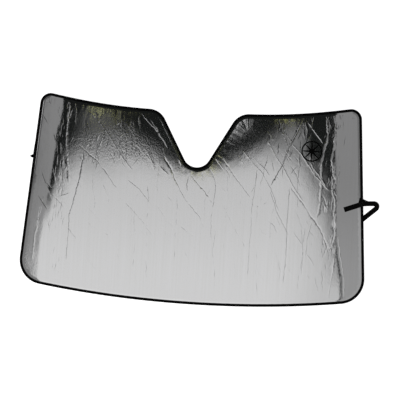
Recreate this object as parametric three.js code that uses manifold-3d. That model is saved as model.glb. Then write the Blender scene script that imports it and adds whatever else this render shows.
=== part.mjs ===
// A roll-up windscreen sunshade, lying face up on a flat surface.
// Millimetres, +Z up, +X across the windscreen, +Y towards the roof edge.
// The origin is the middle of the sheet's back, on the surface that the shade lies on.
import * as THREE from "three";
import Module from "manifold-3d";
import { mergeVertices } from "three/addons/utils/BufferGeometryUtils.js";

// Driving dimensions: control corners of the outline, before they are rounded.
const BOTTOM_WIDTH = 1414; // between the two bottom corners
const TOP_WIDTH = 1298; // between the two top corners
const BOTTOM_CORNER_DROP = 354; // from the origin down to the bottom corners
const TOP_CORNER_RISE = 421; // from the origin up to the top corners
const BOTTOM_BOW = 101; // how far the bottom edge's control point hangs below its corners
const TOP_SAG_X = 400; // where the top edge's control point is
const TOP_SAG = 47; // how far it lies below the top corners
const NOTCH_WIDTH = 318; // mirror notch, across its shoulders
const NOTCH_SHOULDER_DROP = 51; // from the top corners down to the shoulders
const NOTCH_DEPTH = 286; // from the shoulders down to the point of the V
const BOTTOM_CORNER_RADIUS = 100;
const TOP_CORNER_RADIUS = 43;
const SHOULDER_RADIUS = 76;
const NOTCH_RADIUS = 57;

// Section of the laminated sheet and of the tape that binds its edge.
const SHEET_THICKNESS = 3.4;
const PINCHED_THICKNESS = 1.2; // where the seam presses the foam flat
const PINCH_RAMP = 5; // width of the slope from pinched to full thickness
const TAPE_THICKNESS = 0.8;
const TAPE_WIDTH = 11; // what shows of the tape on each face
const TAPE_ROUNDING = 1.1; // how softly the tape folds round the edge
const CLEARANCE = 0.3; // between pieces that lie against each other

// The tape's two ends lap over each other on the left edge.
const LAP_TOP = 180; // height above the origin where the tape starts
const LAP_LENGTH = 34; // how far its other end passes over the start
const LAP_RISE = 40; // length over which it climbs onto the start
const LAP_CORNER = 12; // how far its cut corner sticks out sideways
const LAP_CORNER_LENGTH = 16; // length of edge that the corner takes

// Roll creases: a low ridge runs up each side, a hand's width in from the edge.
const RIDGE_INSET = 112; // from the side edge in to the crest
const RIDGE_FLANK = 550; // from the crest in to where the sheet lies flat
const RIDGE_HEIGHT = 9.5;
const RIDGE_CREST = 36; // width that the crest is rounded over

// Elastic closing strap: a tail on the face, a turn in the air and an end under the sheet.
const STRAP_WIDTH = 20;
const STRAP_THICKNESS = 1.2;
const STRAP_ROOT_RISE = 38; // height above the origin where it crosses the edge
const STRAP_TAIL = 80; // length lying on the face
const STRAP_TAIL_ANGLE = 21; // degrees from +X
const STRAP_OUT = 43; // length beyond the edge, up to the turn
const STRAP_OUT_ANGLE = 3.6;
const STRAP_TURN_RADIUS = 1.6; // of its inner edge
const STRAP_BACK = 150; // from the turn back to its end under the sheet
const STRAP_BACK_ANGLE = -138;
const STRAP_EAR = 18; // how far a loose fold stands out past its upper edge at the tape
const STRAP_TURN_STEPS = 8;
const HOOK_LENGTH = 45; // hook and loop patches sewn to the strap's ends
const HOOK_INSET = 1; // of a patch from the strap's edges
const HOOK_THICKNESS = 1;

// Printed sunburst near the right-hand top corner: a pointed sun whose tips run into a ring.
const MARK_INSET = 203; // from the side edge to its middle
const MARK_DROP = 186; // from the top corner's height to its middle
const MARK_RADIUS = 42;
const MARK_RING_WIDTH = 5.5;
const MARK_VALLEY_RADIUS = 10; // from its middle to where two rays meet
const MARK_TIP_WIDTH = 3; // of a ray where it runs into the ring
const MARK_RAYS = 8;
const MARK_THICKNESS = 0.3;

// How finely the curves are divided.
const CORNER_STEPS = 6;
const SAG_STEPS = 9;
const SHOULDER_STEPS = 6;
const WALL_STEPS = 3;
const NOTCH_STEPS = 4;
const SIDE_STEPS = 8;
const MARK_STEPS = 5;

const wasm = await Module();
wasm.setup();

const materials = {
  foil: new THREE.MeshStandardMaterial({ color: 0xc9cacc, roughness: 0.25, metalness: 1 }),
  tape: new THREE.MeshStandardMaterial({ color: 0x0d0d0d, roughness: 0.85, metalness: 0 }),
  elastic: new THREE.MeshStandardMaterial({ color: 0x141413, roughness: 0.9, metalness: 0 }),
  hook: new THREE.MeshStandardMaterial({ color: 0x1a1a1a, roughness: 0.7, metalness: 0 }),
  ink: new THREE.MeshStandardMaterial({ color: 0x101012, roughness: 0.45, metalness: 0 }),
};

const { degToRad, radToDeg, euclideanModulo, mapLinear, smoothstep, lerp } = THREE.MathUtils;
const point = (x, y) => new THREE.Vector2(x, y);
const mirrored = (p) => point(-p.x, p.y);

// Outline: control corners, then the curves between them. They run anticlockwise round the sheet.
const bottomCorner = point(BOTTOM_WIDTH / 2, -BOTTOM_CORNER_DROP);
const topCorner = point(TOP_WIDTH / 2, TOP_CORNER_RISE);
const shoulder = point(NOTCH_WIDTH / 2, topCorner.y - NOTCH_SHOULDER_DROP);
const notchPoint = point(0, shoulder.y - NOTCH_DEPTH);
const bowControl = point(0, bottomCorner.y - BOTTOM_BOW);
const sagControl = point(TOP_SAG_X, topCorner.y - TOP_SAG);

// A corner rounded by an arc that touches the lines to the two points beside it.
function roundedCorner(corner, before, after, radius) {
  const u = before.clone().sub(corner).normalize();
  const v = after.clone().sub(corner).normalize();
  const half = Math.acos(u.dot(v)) / 2;
  const start = corner.clone().addScaledVector(u, radius / Math.tan(half));
  const end = corner.clone().addScaledVector(v, radius / Math.tan(half));
  const toCentre = u.clone().add(v).normalize();
  const centre = corner.clone().addScaledVector(toCentre, radius / Math.sin(half));
  const from = start.clone().sub(centre).angle();
  const to = end.clone().sub(centre).angle();
  const turn = euclideanModulo(to - from + Math.PI, 2 * Math.PI) - Math.PI;
  const arc = new THREE.EllipseCurve(centre.x, centre.y, radius, radius, from, from + turn, turn < 0);
  return { start, end, arc };
}

const bottomRound = roundedCorner(bottomCorner, bowControl, topCorner, BOTTOM_CORNER_RADIUS);
const topRound = roundedCorner(topCorner, bottomCorner, sagControl, TOP_CORNER_RADIUS);
const shoulderRound = roundedCorner(shoulder, sagControl, notchPoint, SHOULDER_RADIUS);
const notchRound = roundedCorner(notchPoint, shoulder, mirrored(shoulder), NOTCH_RADIUS);

const side = new THREE.LineCurve(bottomRound.end, topRound.start);
const sag = new THREE.QuadraticBezierCurve(topRound.end, sagControl, shoulderRound.start);
const wall = new THREE.LineCurve(shoulderRound.end, notchRound.start);
const bow = new THREE.QuadraticBezierCurve(mirrored(bottomRound.start), bowControl, bottomRound.start);

// A place on the outline: where it is, and which way leads into the sheet.
function placeOn(curve, t) {
  const tangent = curve.getTangent(t);
  return { at: curve.getPoint(t), inward: point(-tangent.y, tangent.x) };
}

const placesOn = (curve, steps, last = 1) =>
  Array.from({ length: steps + 1 }, (_, i) => placeOn(curve, (last * i) / steps));
const mirrorPlace = ({ at, inward }) => ({ at: mirrored(at), inward: mirrored(inward) });
const chain = (first, ...others) => first.concat(...others.map((run) => run.slice(1)));

// Right half of the top edge, from the side to the middle of the notch.
const topHalf = chain(
  placesOn(topRound.arc, CORNER_STEPS),
  placesOn(sag, SAG_STEPS),
  placesOn(shoulderRound.arc, SHOULDER_STEPS),
  placesOn(wall, WALL_STEPS),
  placesOn(notchRound.arc, NOTCH_STEPS, 0.5),
);

// Right half of the bottom edge, from the side to the middle, with a place below each of the top's.
const bowHalf = topHalf
  .slice(CORNER_STEPS)
  .map(({ at }) => placeOn(bow, (1 + at.x / topRound.end.x) / 2));
const bottomHalf = chain(placesOn(bottomRound.arc, CORNER_STEPS).reverse(), bowHalf);

// Both edges from left to right, and the sides from bottom to top.
const acrossFrom = (half) => half.map(mirrorPlace).concat(half.slice(0, -1).reverse());
const topEdge = acrossFrom(topHalf);
const bottomEdge = acrossFrom(bottomHalf);
const rightEdge = placesOn(side, SIDE_STEPS);
const leftEdge = rightEdge.map(mirrorPlace);
const columns = topEdge.length - 1;

// The whole outline once round, anticlockwise from the left end of the bottom edge.
const outline = chain(bottomEdge, rightEdge, topEdge.toReversed(), leftEdge.toReversed()).slice(0, -1);

const sideAt = (y) => mapLinear(y, side.v1.y, side.v2.y, side.v1.x, side.v2.x);
const edgeHeight = STRAP_THICKNESS + CLEARANCE; // the side edges rest on the strap

// Height of the sheet's back above the surface: flat in the middle, with a ridge up each side.
function lie(x, y) {
  const past = Math.abs(x) - (sideAt(y) - RIDGE_INSET);
  if (past < 0) return RIDGE_HEIGHT * smoothstep(past, -RIDGE_FLANK, 0);
  const slope = (RIDGE_HEIGHT - edgeHeight) / (RIDGE_INSET - RIDGE_CREST / 2);
  const fall = past < RIDGE_CREST ? past ** 2 / (2 * RIDGE_CREST) : past - RIDGE_CREST / 2;
  return RIDGE_HEIGHT - slope * fall;
}

// Collects corner points, and the triangles between them.
class Skin {
  points = [];
  faces = [];

  add(x, y, z) {
    this.points.push(x, y, z);
    return this.points.length / 3 - 1;
  }

  // A corner given by its distance in from the outline and its height in the sheet's thickness.
  addInside({ at, inward }, inset, height) {
    const x = at.x + inward.x * inset;
    const y = at.y + inward.y * inset;
    return this.add(x, y, lie(x, y) + height);
  }

  quad(a, b, c, d) {
    this.faces.push(a, b, c, a, c, d);
  }

  // Quads between two closed rings, or between two open rows of corners.
  bridge(lower, upper, closed = true) {
    for (let i = closed ? 0 : 1; i < lower.length; i++) {
      const j = (i || lower.length) - 1;
      this.quad(lower[j], lower[i], upper[i], upper[j]);
    }
  }

  geometry() {
    const geometry = new THREE.BufferGeometry();
    geometry.setAttribute("position", new THREE.Float32BufferAttribute(this.points, 3));
    geometry.setIndex(this.faces);
    geometry.computeVertexNormals();
    return geometry;
  }
}

const shade = new THREE.Group();

function addMesh(name, geometry, material) {
  const mesh = new THREE.Mesh(geometry, material);
  mesh.name = name;
  shade.add(mesh);
}

// The sheet: foil on both faces of a foam core, laminated into one, pinched thin inside the tape.
function sheetGeometry() {
  const skin = new Skin();
  const middle = SHEET_THICKNESS / 2;
  const ring = (inset, height) => outline.map((place) => skin.addInside(place, inset, height));
  const rim = TAPE_THICKNESS + CLEARANCE;
  const seam = TAPE_WIDTH + CLEARANCE;

  // One face: the flat seam allowance, the ramp out of it, then a grid of columns and rows.
  const face = (pinched, full) => {
    const edge = ring(rim, pinched);
    const seamRing = ring(seam, pinched);
    const field = ring(seam + PINCH_RAMP, full);
    const corner = (column, row) => {
      if (row === 0) return field[column];
      if (column === columns) return field[columns + row];
      if (row === SIDE_STEPS) return field[2 * columns + SIDE_STEPS - column];
      if (column === 0) return field[2 * columns + 2 * SIDE_STEPS - row];
      const foot = bottomEdge[column];
      const head = topEdge[column];
      const inset = seam + PINCH_RAMP;
      const x = lerp(foot.at.x + foot.inward.x * inset, head.at.x + head.inward.x * inset, row / SIDE_STEPS);
      const y = lerp(foot.at.y + foot.inward.y * inset, head.at.y + head.inward.y * inset, row / SIDE_STEPS);
      return skin.add(x, y, lie(x, y) + full);
    };
    const rows = Array.from({ length: SIDE_STEPS + 1 }, (_, row) =>
      Array.from({ length: columns + 1 }, (_, column) => corner(column, row)),
    );
    return { edge, seamRing, field, rows };
  };

  const front = face(middle + PINCHED_THICKNESS / 2, SHEET_THICKNESS);
  const back = face(middle - PINCHED_THICKNESS / 2, 0);
  skin.bridge(back.field, back.seamRing);
  skin.bridge(back.seamRing, back.edge);
  skin.bridge(back.edge, front.edge);
  skin.bridge(front.edge, front.seamRing);
  skin.bridge(front.seamRing, front.field);
  for (let row = 1; row <= SIDE_STEPS; row++) {
    skin.bridge(front.rows[row - 1], front.rows[row], false);
    skin.bridge(back.rows[row], back.rows[row - 1], false);
  }
  return skin.geometry();
}

// Section of the folded tape as [distance in from the edge, height]. Lifted is how far it stands
// off the sheet where it passes over its own start, and corner how far its cut corner sticks out.
function tapeSection(lifted, corner) {
  const low = -lifted;
  const high = SHEET_THICKNESS + lifted;
  const fold = -lifted;
  const soft = TAPE_ROUNDING;
  const bevel = soft * (1 - Math.SQRT1_2);
  const wallInset = fold + TAPE_THICKNESS;
  return [
    [TAPE_WIDTH, high],
    [fold + soft - corner, high],
    [fold + bevel - corner, high - bevel],
    [fold - corner, high - soft],
    [fold, low + soft],
    [fold + bevel, low + bevel],
    [fold + soft, low],
    [TAPE_WIDTH, low],
    [TAPE_WIDTH, low + TAPE_THICKNESS],
    [wallInset, low + TAPE_THICKNESS],
    [wallInset, high - TAPE_THICKNESS],
    [TAPE_WIDTH, high - TAPE_THICKNESS],
  ];
}

// The tape: one strip folded round the edge, whose end laps over its start.
function tapeGeometry() {
  const skin = new Skin();
  const lapped = TAPE_THICKNESS + CLEARANCE;
  const lapEnd = LAP_TOP - LAP_LENGTH;
  const { inward } = leftEdge[0];
  const station = (place, lifted = 0, corner = 0) =>
    tapeSection(lifted, corner).map(([inset, height]) => skin.addInside(place, inset, height));
  const onLeft = (y, lifted, corner) => station({ at: point(-sideAt(y), y), inward }, lifted, corner);

  const below = leftEdge.filter(({ at }) => at.y < lapEnd).toReversed();
  const above = leftEdge.filter(({ at }) => at.y > LAP_TOP + LAP_RISE).toReversed();
  const way = chain(below, bottomEdge, rightEdge, topEdge.toReversed(), above);
  const stations = [
    onLeft(LAP_TOP),
    onLeft(lapEnd),
    ...way.map((place) => station(place)),
    onLeft(LAP_TOP + LAP_RISE),
    onLeft(LAP_TOP + CLEARANCE, lapped),
    onLeft(lapEnd + LAP_CORNER_LENGTH, lapped),
    onLeft(lapEnd + LAP_CORNER_LENGTH / 3, lapped, LAP_CORNER),
    onLeft(lapEnd, lapped, LAP_CORNER / 3),
  ];
  for (let i = 1; i < stations.length; i++) skin.bridge(stations[i - 1], stations[i]);

  const section = tapeSection(0, 0).map(([inset, height]) => point(inset, height));
  for (const [a, b, c] of THREE.ShapeUtils.triangulateShape(section, [])) {
    const [first, last] = [stations[0], stations.at(-1)];
    skin.faces.push(first[c], first[b], first[a]);
    skin.faces.push(last[a], last[b], last[c]);
  }
  return skin.geometry();
}

// A flat band through stations, each with a left and a right corner on its underside.
function bandGeometry(stations, thickness) {
  const skin = new Skin();
  const sections = stations.map(({ left, right }) => [
    skin.add(right.x, right.y, right.z),
    skin.add(left.x, left.y, left.z),
    skin.add(left.x, left.y, left.z + thickness),
    skin.add(right.x, right.y, right.z + thickness),
  ]);
  for (let i = 1; i < sections.length; i++) skin.bridge(sections[i - 1], sections[i]);
  skin.quad(...sections[0].toReversed());
  skin.quad(...sections.at(-1));
  return skin.geometry();
}

const heading = (degrees) => point(Math.cos(degToRad(degrees)), Math.sin(degToRad(degrees)));
const leftOf = (direction) => point(-direction.y, direction.x);
const moved = (from, direction, length) => from.clone().addScaledVector(direction, length);

// A station square across the band at a point of its centreline, at the height found at each corner.
function bandStation(centre, degrees, halfWidth, heightAt, loose = 0) {
  const across = leftOf(heading(degrees));
  const corner = (p) => new THREE.Vector3(p.x, p.y, heightAt(p));
  return {
    left: corner(moved(centre, across, halfWidth + loose)),
    right: corner(moved(centre, across, -halfWidth)),
  };
}

// The strap's centreline, piece by piece, from the end of the tail.
const strapHalf = STRAP_WIDTH / 2;
const strapRoot = point(sideAt(STRAP_ROOT_RISE), STRAP_ROOT_RISE);
const tailHeading = heading(STRAP_TAIL_ANGLE);
const tailEnd = moved(strapRoot, tailHeading, -STRAP_TAIL);
const turnStart = moved(strapRoot, heading(STRAP_OUT_ANGLE), STRAP_OUT);
const turnRadius = STRAP_TURN_RADIUS + strapHalf;
const turnCentre = moved(turnStart, leftOf(heading(STRAP_OUT_ANGLE)), -turnRadius);
const turnEnd = moved(turnCentre, leftOf(heading(STRAP_BACK_ANGLE)), turnRadius);
const strapEnd = moved(turnEnd, heading(STRAP_BACK_ANGLE), STRAP_BACK);
const onFace = (p) => lie(p.x, p.y) + SHEET_THICKNESS + CLEARANCE;
const overHook = (p) => onFace(p) + HOOK_THICKNESS + CLEARANCE;
const onLoopEnd = () => STRAP_THICKNESS + CLEARANCE;

// Elastic strap. Its tail lies on the hook patch, and past the turn it lies on the surface below.
function strapGeometry() {
  const onTail = (along, heightAt, loose) =>
    bandStation(moved(tailEnd, tailHeading, along), STRAP_TAIL_ANGLE, strapHalf, heightAt, loose);
  const pastEdge = moved(strapRoot, heading(STRAP_OUT_ANGLE), STRAP_EAR);
  const outHeight = onFace(strapRoot);
  const stations = [
    onTail(0, overHook),
    onTail(HOOK_LENGTH, overHook),
    onTail(HOOK_LENGTH + STRAP_EAR, onFace),
    onTail(STRAP_TAIL - TAPE_WIDTH / 2, onFace, STRAP_EAR),
    bandStation(pastEdge, STRAP_OUT_ANGLE, strapHalf, () => outHeight),
  ];
  for (let i = 0; i <= STRAP_TURN_STEPS; i++) {
    const share = i / STRAP_TURN_STEPS;
    const degrees = lerp(STRAP_OUT_ANGLE, STRAP_BACK_ANGLE, share);
    const centre = moved(turnCentre, leftOf(heading(degrees)), turnRadius);
    const height = outHeight * (1 - smoothstep(share, 0, 1));
    stations.push(bandStation(centre, degrees, strapHalf, () => height));
  }
  stations.push(bandStation(strapEnd, STRAP_BACK_ANGLE, strapHalf, () => 0));
  return bandGeometry(stations, STRAP_THICKNESS);
}

// Hook patch under the end of the tail, and loop patch on top of the end below the sheet.
function patchGeometry(end, degrees, heightAt) {
  const stations = [HOOK_INSET, HOOK_LENGTH - HOOK_INSET].map((along) =>
    bandStation(moved(end, heading(degrees), along), degrees, strapHalf - HOOK_INSET, heightAt),
  );
  return bandGeometry(stations, HOOK_THICKNESS);
}

// A closed geometry as a solid for cutting, and back again.
function solidFrom(geometry) {
  const bare = geometry.clone().deleteAttribute("normal").deleteAttribute("uv");
  const merged = mergeVertices(bare);
  const vertProperties = merged.attributes.position.array;
  return new wasm.Manifold(new wasm.Mesh({ numProp: 3, vertProperties, triVerts: merged.index.array }));
}

function geometryFrom(solid) {
  const { vertProperties, triVerts } = solid.getMesh();
  const geometry = new THREE.BufferGeometry();
  geometry.setAttribute("position", new THREE.BufferAttribute(vertProperties, 3));
  geometry.setIndex(new THREE.BufferAttribute(triVerts, 1));
  return geometry;
}

// Printed sunburst: its outline cut from a thin layer that follows the face of the sheet.
function markGeometry(sheet) {
  const inside = MARK_RADIUS - MARK_RING_WIDTH;
  const tip = radToDeg(Math.asin(MARK_TIP_WIDTH / 2 / inside));
  const share = 360 / MARK_RAYS;
  const rays = Array.from({ length: MARK_RAYS }, (_, i) => i);
  const arc = (radius, from, to) =>
    Array.from({ length: MARK_STEPS + 1 }, (_, i) =>
      heading(lerp(from, to, i / MARK_STEPS)).multiplyScalar(radius),
    );
  const valley = (i) => heading(share * (i + 0.5)).multiplyScalar(MARK_VALLEY_RADIUS);
  const disc = new THREE.Shape(rays.flatMap((i) => arc(MARK_RADIUS, share * i, share * (i + 1)).slice(1)));
  disc.holes = rays.map(
    (i) => new THREE.Path([valley(i), ...arc(inside, share * i + tip, share * (i + 1) - tip)]),
  );
  const depth = 2 * (SHEET_THICKNESS + RIDGE_HEIGHT);
  const block = new THREE.ExtrudeGeometry(disc, { depth, bevelEnabled: false });
  const y = topCorner.y - MARK_DROP;
  block.translate(sideAt(y) - MARK_INSET, y, SHEET_THICKNESS / 2);
  const raised = (height) => solidFrom(sheet.clone().translate(0, 0, height));
  const layer = raised(CLEARANCE + MARK_THICKNESS).subtract(raised(CLEARANCE));
  return geometryFrom(solidFrom(block).intersect(layer));
}

const sheet = sheetGeometry();
addMesh("foil_foam_sheet", sheet, materials.foil);
addMesh("edge_binding_tape", tapeGeometry(), materials.tape);
addMesh("elastic_strap", strapGeometry(), materials.elastic);
addMesh("hook_patch", patchGeometry(tailEnd, STRAP_TAIL_ANGLE, onFace), materials.hook);
addMesh("loop_patch", patchGeometry(strapEnd, STRAP_BACK_ANGLE + 180, onLoopEnd), materials.hook);
addMesh("sunburst_mark", markGeometry(sheet), materials.ink);

export default shade;
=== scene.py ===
# %% [markdown]
# # A roll-up windscreen sunshade
#
# The real thing is a sheet of aluminised film laminated to both faces of a thin soft foam. Its edge
# is bound with black woven tape, and a strap of black elastic holds it rolled up. This script loads
# the solid model as a fixed frame and dresses it: a creased foil sheet, a woven tape with its
# stitches, a ribbed elastic and a printed mark. Everything is in metres, with +Z up.

# %% Load the frame
import math

import bpy
import numpy as np
from mathutils import Matrix, Vector, kdtree, noise
from mathutils.bvhtree import BVHTree
from mathutils.geometry import delaunay_2d_cdt


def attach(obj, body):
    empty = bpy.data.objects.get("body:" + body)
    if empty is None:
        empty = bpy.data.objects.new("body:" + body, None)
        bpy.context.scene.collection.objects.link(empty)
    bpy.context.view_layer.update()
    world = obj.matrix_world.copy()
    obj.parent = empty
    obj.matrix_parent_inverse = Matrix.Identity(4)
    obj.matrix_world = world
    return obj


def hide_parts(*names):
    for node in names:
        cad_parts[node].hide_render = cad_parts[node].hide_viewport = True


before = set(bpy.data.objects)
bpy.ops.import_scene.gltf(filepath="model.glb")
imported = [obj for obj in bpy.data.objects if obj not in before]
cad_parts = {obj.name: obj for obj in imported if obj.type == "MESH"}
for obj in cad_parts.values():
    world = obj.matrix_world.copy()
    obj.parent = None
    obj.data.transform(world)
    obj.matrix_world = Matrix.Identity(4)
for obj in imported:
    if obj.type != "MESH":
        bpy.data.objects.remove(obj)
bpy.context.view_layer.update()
MM = 0.001
UP = np.array([0.0, 0.0, 1.0])
print("CAD nodes:", ", ".join(sorted(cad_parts)))

# %% [markdown]
# ## Camera
#
# The shade is photographed from straight above, so all that the camera needs is its height, the
# point it looks at and two small turns. The long lens keeps the outline almost free of perspective.

# %% Camera
SENSOR = 0.036
LENS = 0.072
CAMERA_DISTANCE = 3.240
CAMERA_AIM = Vector((0.0235, 0.0135, 0.0))
CAMERA_YAW = math.radians(-3.10)
CAMERA_ROLL = math.radians(-3.45)
PHOTO_SIZE = 400

camera_turn = (Matrix.Rotation(CAMERA_YAW, 3, "Y") @ Matrix.Rotation(CAMERA_ROLL, 3, "Z")).transposed()
camera_place = CAMERA_AIM + camera_turn @ Vector((0.0, 0.0, CAMERA_DISTANCE))
camera_data = bpy.data.cameras.new("camera")
camera_data.sensor_width = SENSOR / MM
camera_data.lens = LENS / MM
camera = bpy.data.objects.new("camera", camera_data)
camera.matrix_world = Matrix.LocRotScale(camera_place, camera_turn, None)
bpy.context.scene.collection.objects.link(camera)
bpy.context.scene.camera = camera


def on_floor(pixel):
    """The point of the floor that the camera sees at a pixel of the photograph."""
    across, down = (np.array(pixel) / PHOTO_SIZE - 0.5) * SENSOR / LENS
    ray = camera_turn @ Vector((across, -down, -1.0))
    return np.array((camera_place - ray * (camera_place.z / ray.z))[:2])


print("camera height", round(camera_place.z, 3))

# %% [markdown]
# ## Outline
#
# A sunshade is cut from a pattern: four rounded corners, straight sides, a bowed bottom edge, a
# sagging top edge and a V-shaped notch for the mirror. The pattern's control corners are the same
# as in the solid model. Everything else follows this line, so it is worked out once, as evenly
# spaced stations with the way into the sheet at each.

# %% Outline
BOTTOM_WIDTH = 1.414
TOP_WIDTH = 1.298
BOTTOM_CORNER_DROP = 0.354
TOP_CORNER_RISE = 0.421
BOTTOM_BOW = 0.101
TOP_SAG_X = 0.400
TOP_SAG = 0.047
NOTCH_WIDTH = 0.318
NOTCH_SHOULDER_DROP = 0.051
NOTCH_DEPTH = 0.286
BOTTOM_CORNER_RADIUS = 0.100
TOP_CORNER_RADIUS = 0.043
SHOULDER_RADIUS = 0.076
NOTCH_RADIUS = 0.057
STATION_STEP = 0.002

bottom_corner = np.array([BOTTOM_WIDTH / 2, -BOTTOM_CORNER_DROP])
top_corner = np.array([TOP_WIDTH / 2, TOP_CORNER_RISE])
shoulder = np.array([NOTCH_WIDTH / 2, TOP_CORNER_RISE - NOTCH_SHOULDER_DROP])
notch_point = np.array([0.0, shoulder[1] - NOTCH_DEPTH])
bow_control = np.array([0.0, -BOTTOM_CORNER_DROP - BOTTOM_BOW])
sag_control = np.array([TOP_SAG_X, TOP_CORNER_RISE - TOP_SAG])


def unit(v):
    """v at length 1, or each row of v at length 1."""
    return v / np.linalg.norm(v, axis=-1, keepdims=True)


def mirrored(points):
    return points * [-1, 1]


def rounded(corner, before, after, radius, steps=24):
    """An arc that rounds a corner and touches the lines to its two neighbours."""
    u, v = unit(before - corner), unit(after - corner)
    half = math.acos(u @ v) / 2
    centre = corner + unit(u + v) * radius / math.sin(half)
    start = corner + u * radius / math.tan(half) - centre
    end = corner + v * radius / math.tan(half) - centre
    turn = math.pi - 2 * half
    t = np.linspace(0, 1, steps + 1)[:, None]
    return centre + (start * np.sin((1 - t) * turn) + end * np.sin(t * turn)) / math.sin(turn)


def bezier(a, control, b, steps=80):
    t = np.linspace(0, 1, steps + 1)[:, None]
    return (1 - t) ** 2 * a + 2 * t * (1 - t) * control + t**2 * b


def distances(points):
    """How far each point of a line lies from its start, measured along it."""
    return np.concatenate([[0], np.cumsum(np.linalg.norm(np.diff(points, axis=0), axis=1))])


def evenly(points, step):
    """The same line with points about one step apart."""
    along = distances(points)
    places = np.linspace(0, along[-1], max(1, round(along[-1] / step)) + 1)
    return np.stack([np.interp(places, along, column) for column in points.T], axis=1)


bottom_round = rounded(bottom_corner, bow_control, top_corner, BOTTOM_CORNER_RADIUS)
top_round = rounded(top_corner, bottom_corner, sag_control, TOP_CORNER_RADIUS)
shoulder_round = rounded(shoulder, sag_control, notch_point, SHOULDER_RADIUS)
notch_round = rounded(notch_point, shoulder, mirrored(shoulder), NOTCH_RADIUS)
bow = bezier(mirrored(bottom_round[0]), bow_control, bottom_round[0])
sag = bezier(top_round[-1], sag_control, shoulder_round[0])
right_half = np.concatenate([bottom_round, top_round, sag, shoulder_round])
line = np.concatenate([bow, right_half, notch_round, mirrored(right_half)[::-1], bow[:1]])
rim = evenly(line, STATION_STEP)[:-1]
tangent = unit(np.roll(rim, -1, axis=0) - np.roll(rim, 1, axis=0))
inward = np.stack([-tangent[:, 1], tangent[:, 0]], axis=1)
girth = len(rim) * STATION_STEP
print("outline:", len(rim), "stations,", round(girth, 3), "m round")


def search_tree(points):
    """Points of the floor's plane, ready to be searched for the nearest."""
    tree = kdtree.KDTree(len(points))
    for i, (x, y) in enumerate(points):
        tree.insert((x, y, 0), i)
    tree.balance()
    return tree


rim_tree = search_tree(rim)


def nearest_station(points):
    """The number of the nearest station to each point, and the distance in from the edge there."""
    index = np.array([rim_tree.find((x, y, 0))[1] for x, y in points])
    return index, ((points - rim[index]) * inward[index]).sum(axis=1)


# %% [markdown]
# ## How the sheet lies
#
# Stored rolled up, the shade keeps a low ridge up each side and falls from there to the side
# edges. The middle lies flat. A faint slack is added, as a soft sheet is never quite plane, and
# it is what makes a reflection wander.

# %% Lie of the sheet
SHEET_THICKNESS = 0.0034
PINCHED_THICKNESS = 0.0012
PINCH_RAMP = 0.005
TAPE_THICKNESS = 0.0008
TAPE_WIDTH = 0.011
CLEARANCE = 0.0003
RIDGE_INSET = 0.112
RIDGE_FLANK = 0.550
RIDGE_HEIGHT = 0.0095
RIDGE_CREST = 0.036
EDGE_HEIGHT = 0.0015
SLACK = 0.0008
SLACK_SIZE = 0.22
SLACK_SEED = 3.7

side_low, side_high = bottom_round[-1], top_round[0]


def smooth(x, low, high):
    """0 below low, 1 above high and a smooth rise between."""
    t = np.clip((x - low) / (high - low), 0, 1)
    return t * t * (3 - 2 * t)


def side_at(y):
    """Half the sheet's width at a height on its sides."""
    return np.interp(y, [side_low[1], side_high[1]], [side_low[0], side_high[0]])


def grain(points, size, seed=0.0):
    """Smooth random numbers from about -1 to 1 that change over about one size."""
    size = np.broadcast_to(size, 2)
    return np.array([noise.noise((x / size[0], y / size[1], seed)) for x, y in points])


def lie(points):
    """Height of the sheet's back above the floor."""
    past = np.abs(points[:, 0]) - (side_at(points[:, 1]) - RIDGE_INSET)
    flank = RIDGE_HEIGHT * smooth(past, -RIDGE_FLANK, 0)
    slope = (RIDGE_HEIGHT - EDGE_HEIGHT) / (RIDGE_INSET - RIDGE_CREST / 2)
    fall = np.where(past < RIDGE_CREST, past**2 / (2 * RIDGE_CREST), past - RIDGE_CREST / 2)
    ridge = np.where(past < 0, flank, RIDGE_HEIGHT - slope * fall)
    return ridge + SLACK * (0.5 + 0.5 * grain(points, SLACK_SIZE, SLACK_SEED))


print("the ridges stand", RIDGE_HEIGHT / MM, "mm high,", RIDGE_INSET / MM, "mm in from the sides")

# %% [markdown]
# ## Creases
#
# A film that has been folded keeps sharp lines. The long ones were read off the photograph, as
# pixels along each line, and are put on the sheet by the camera that sees them there. Each has a
# height: above zero it stands up, below zero it is a groove. None is quite straight or even: along
# its way it wobbles, bends, and fades and returns.

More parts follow.
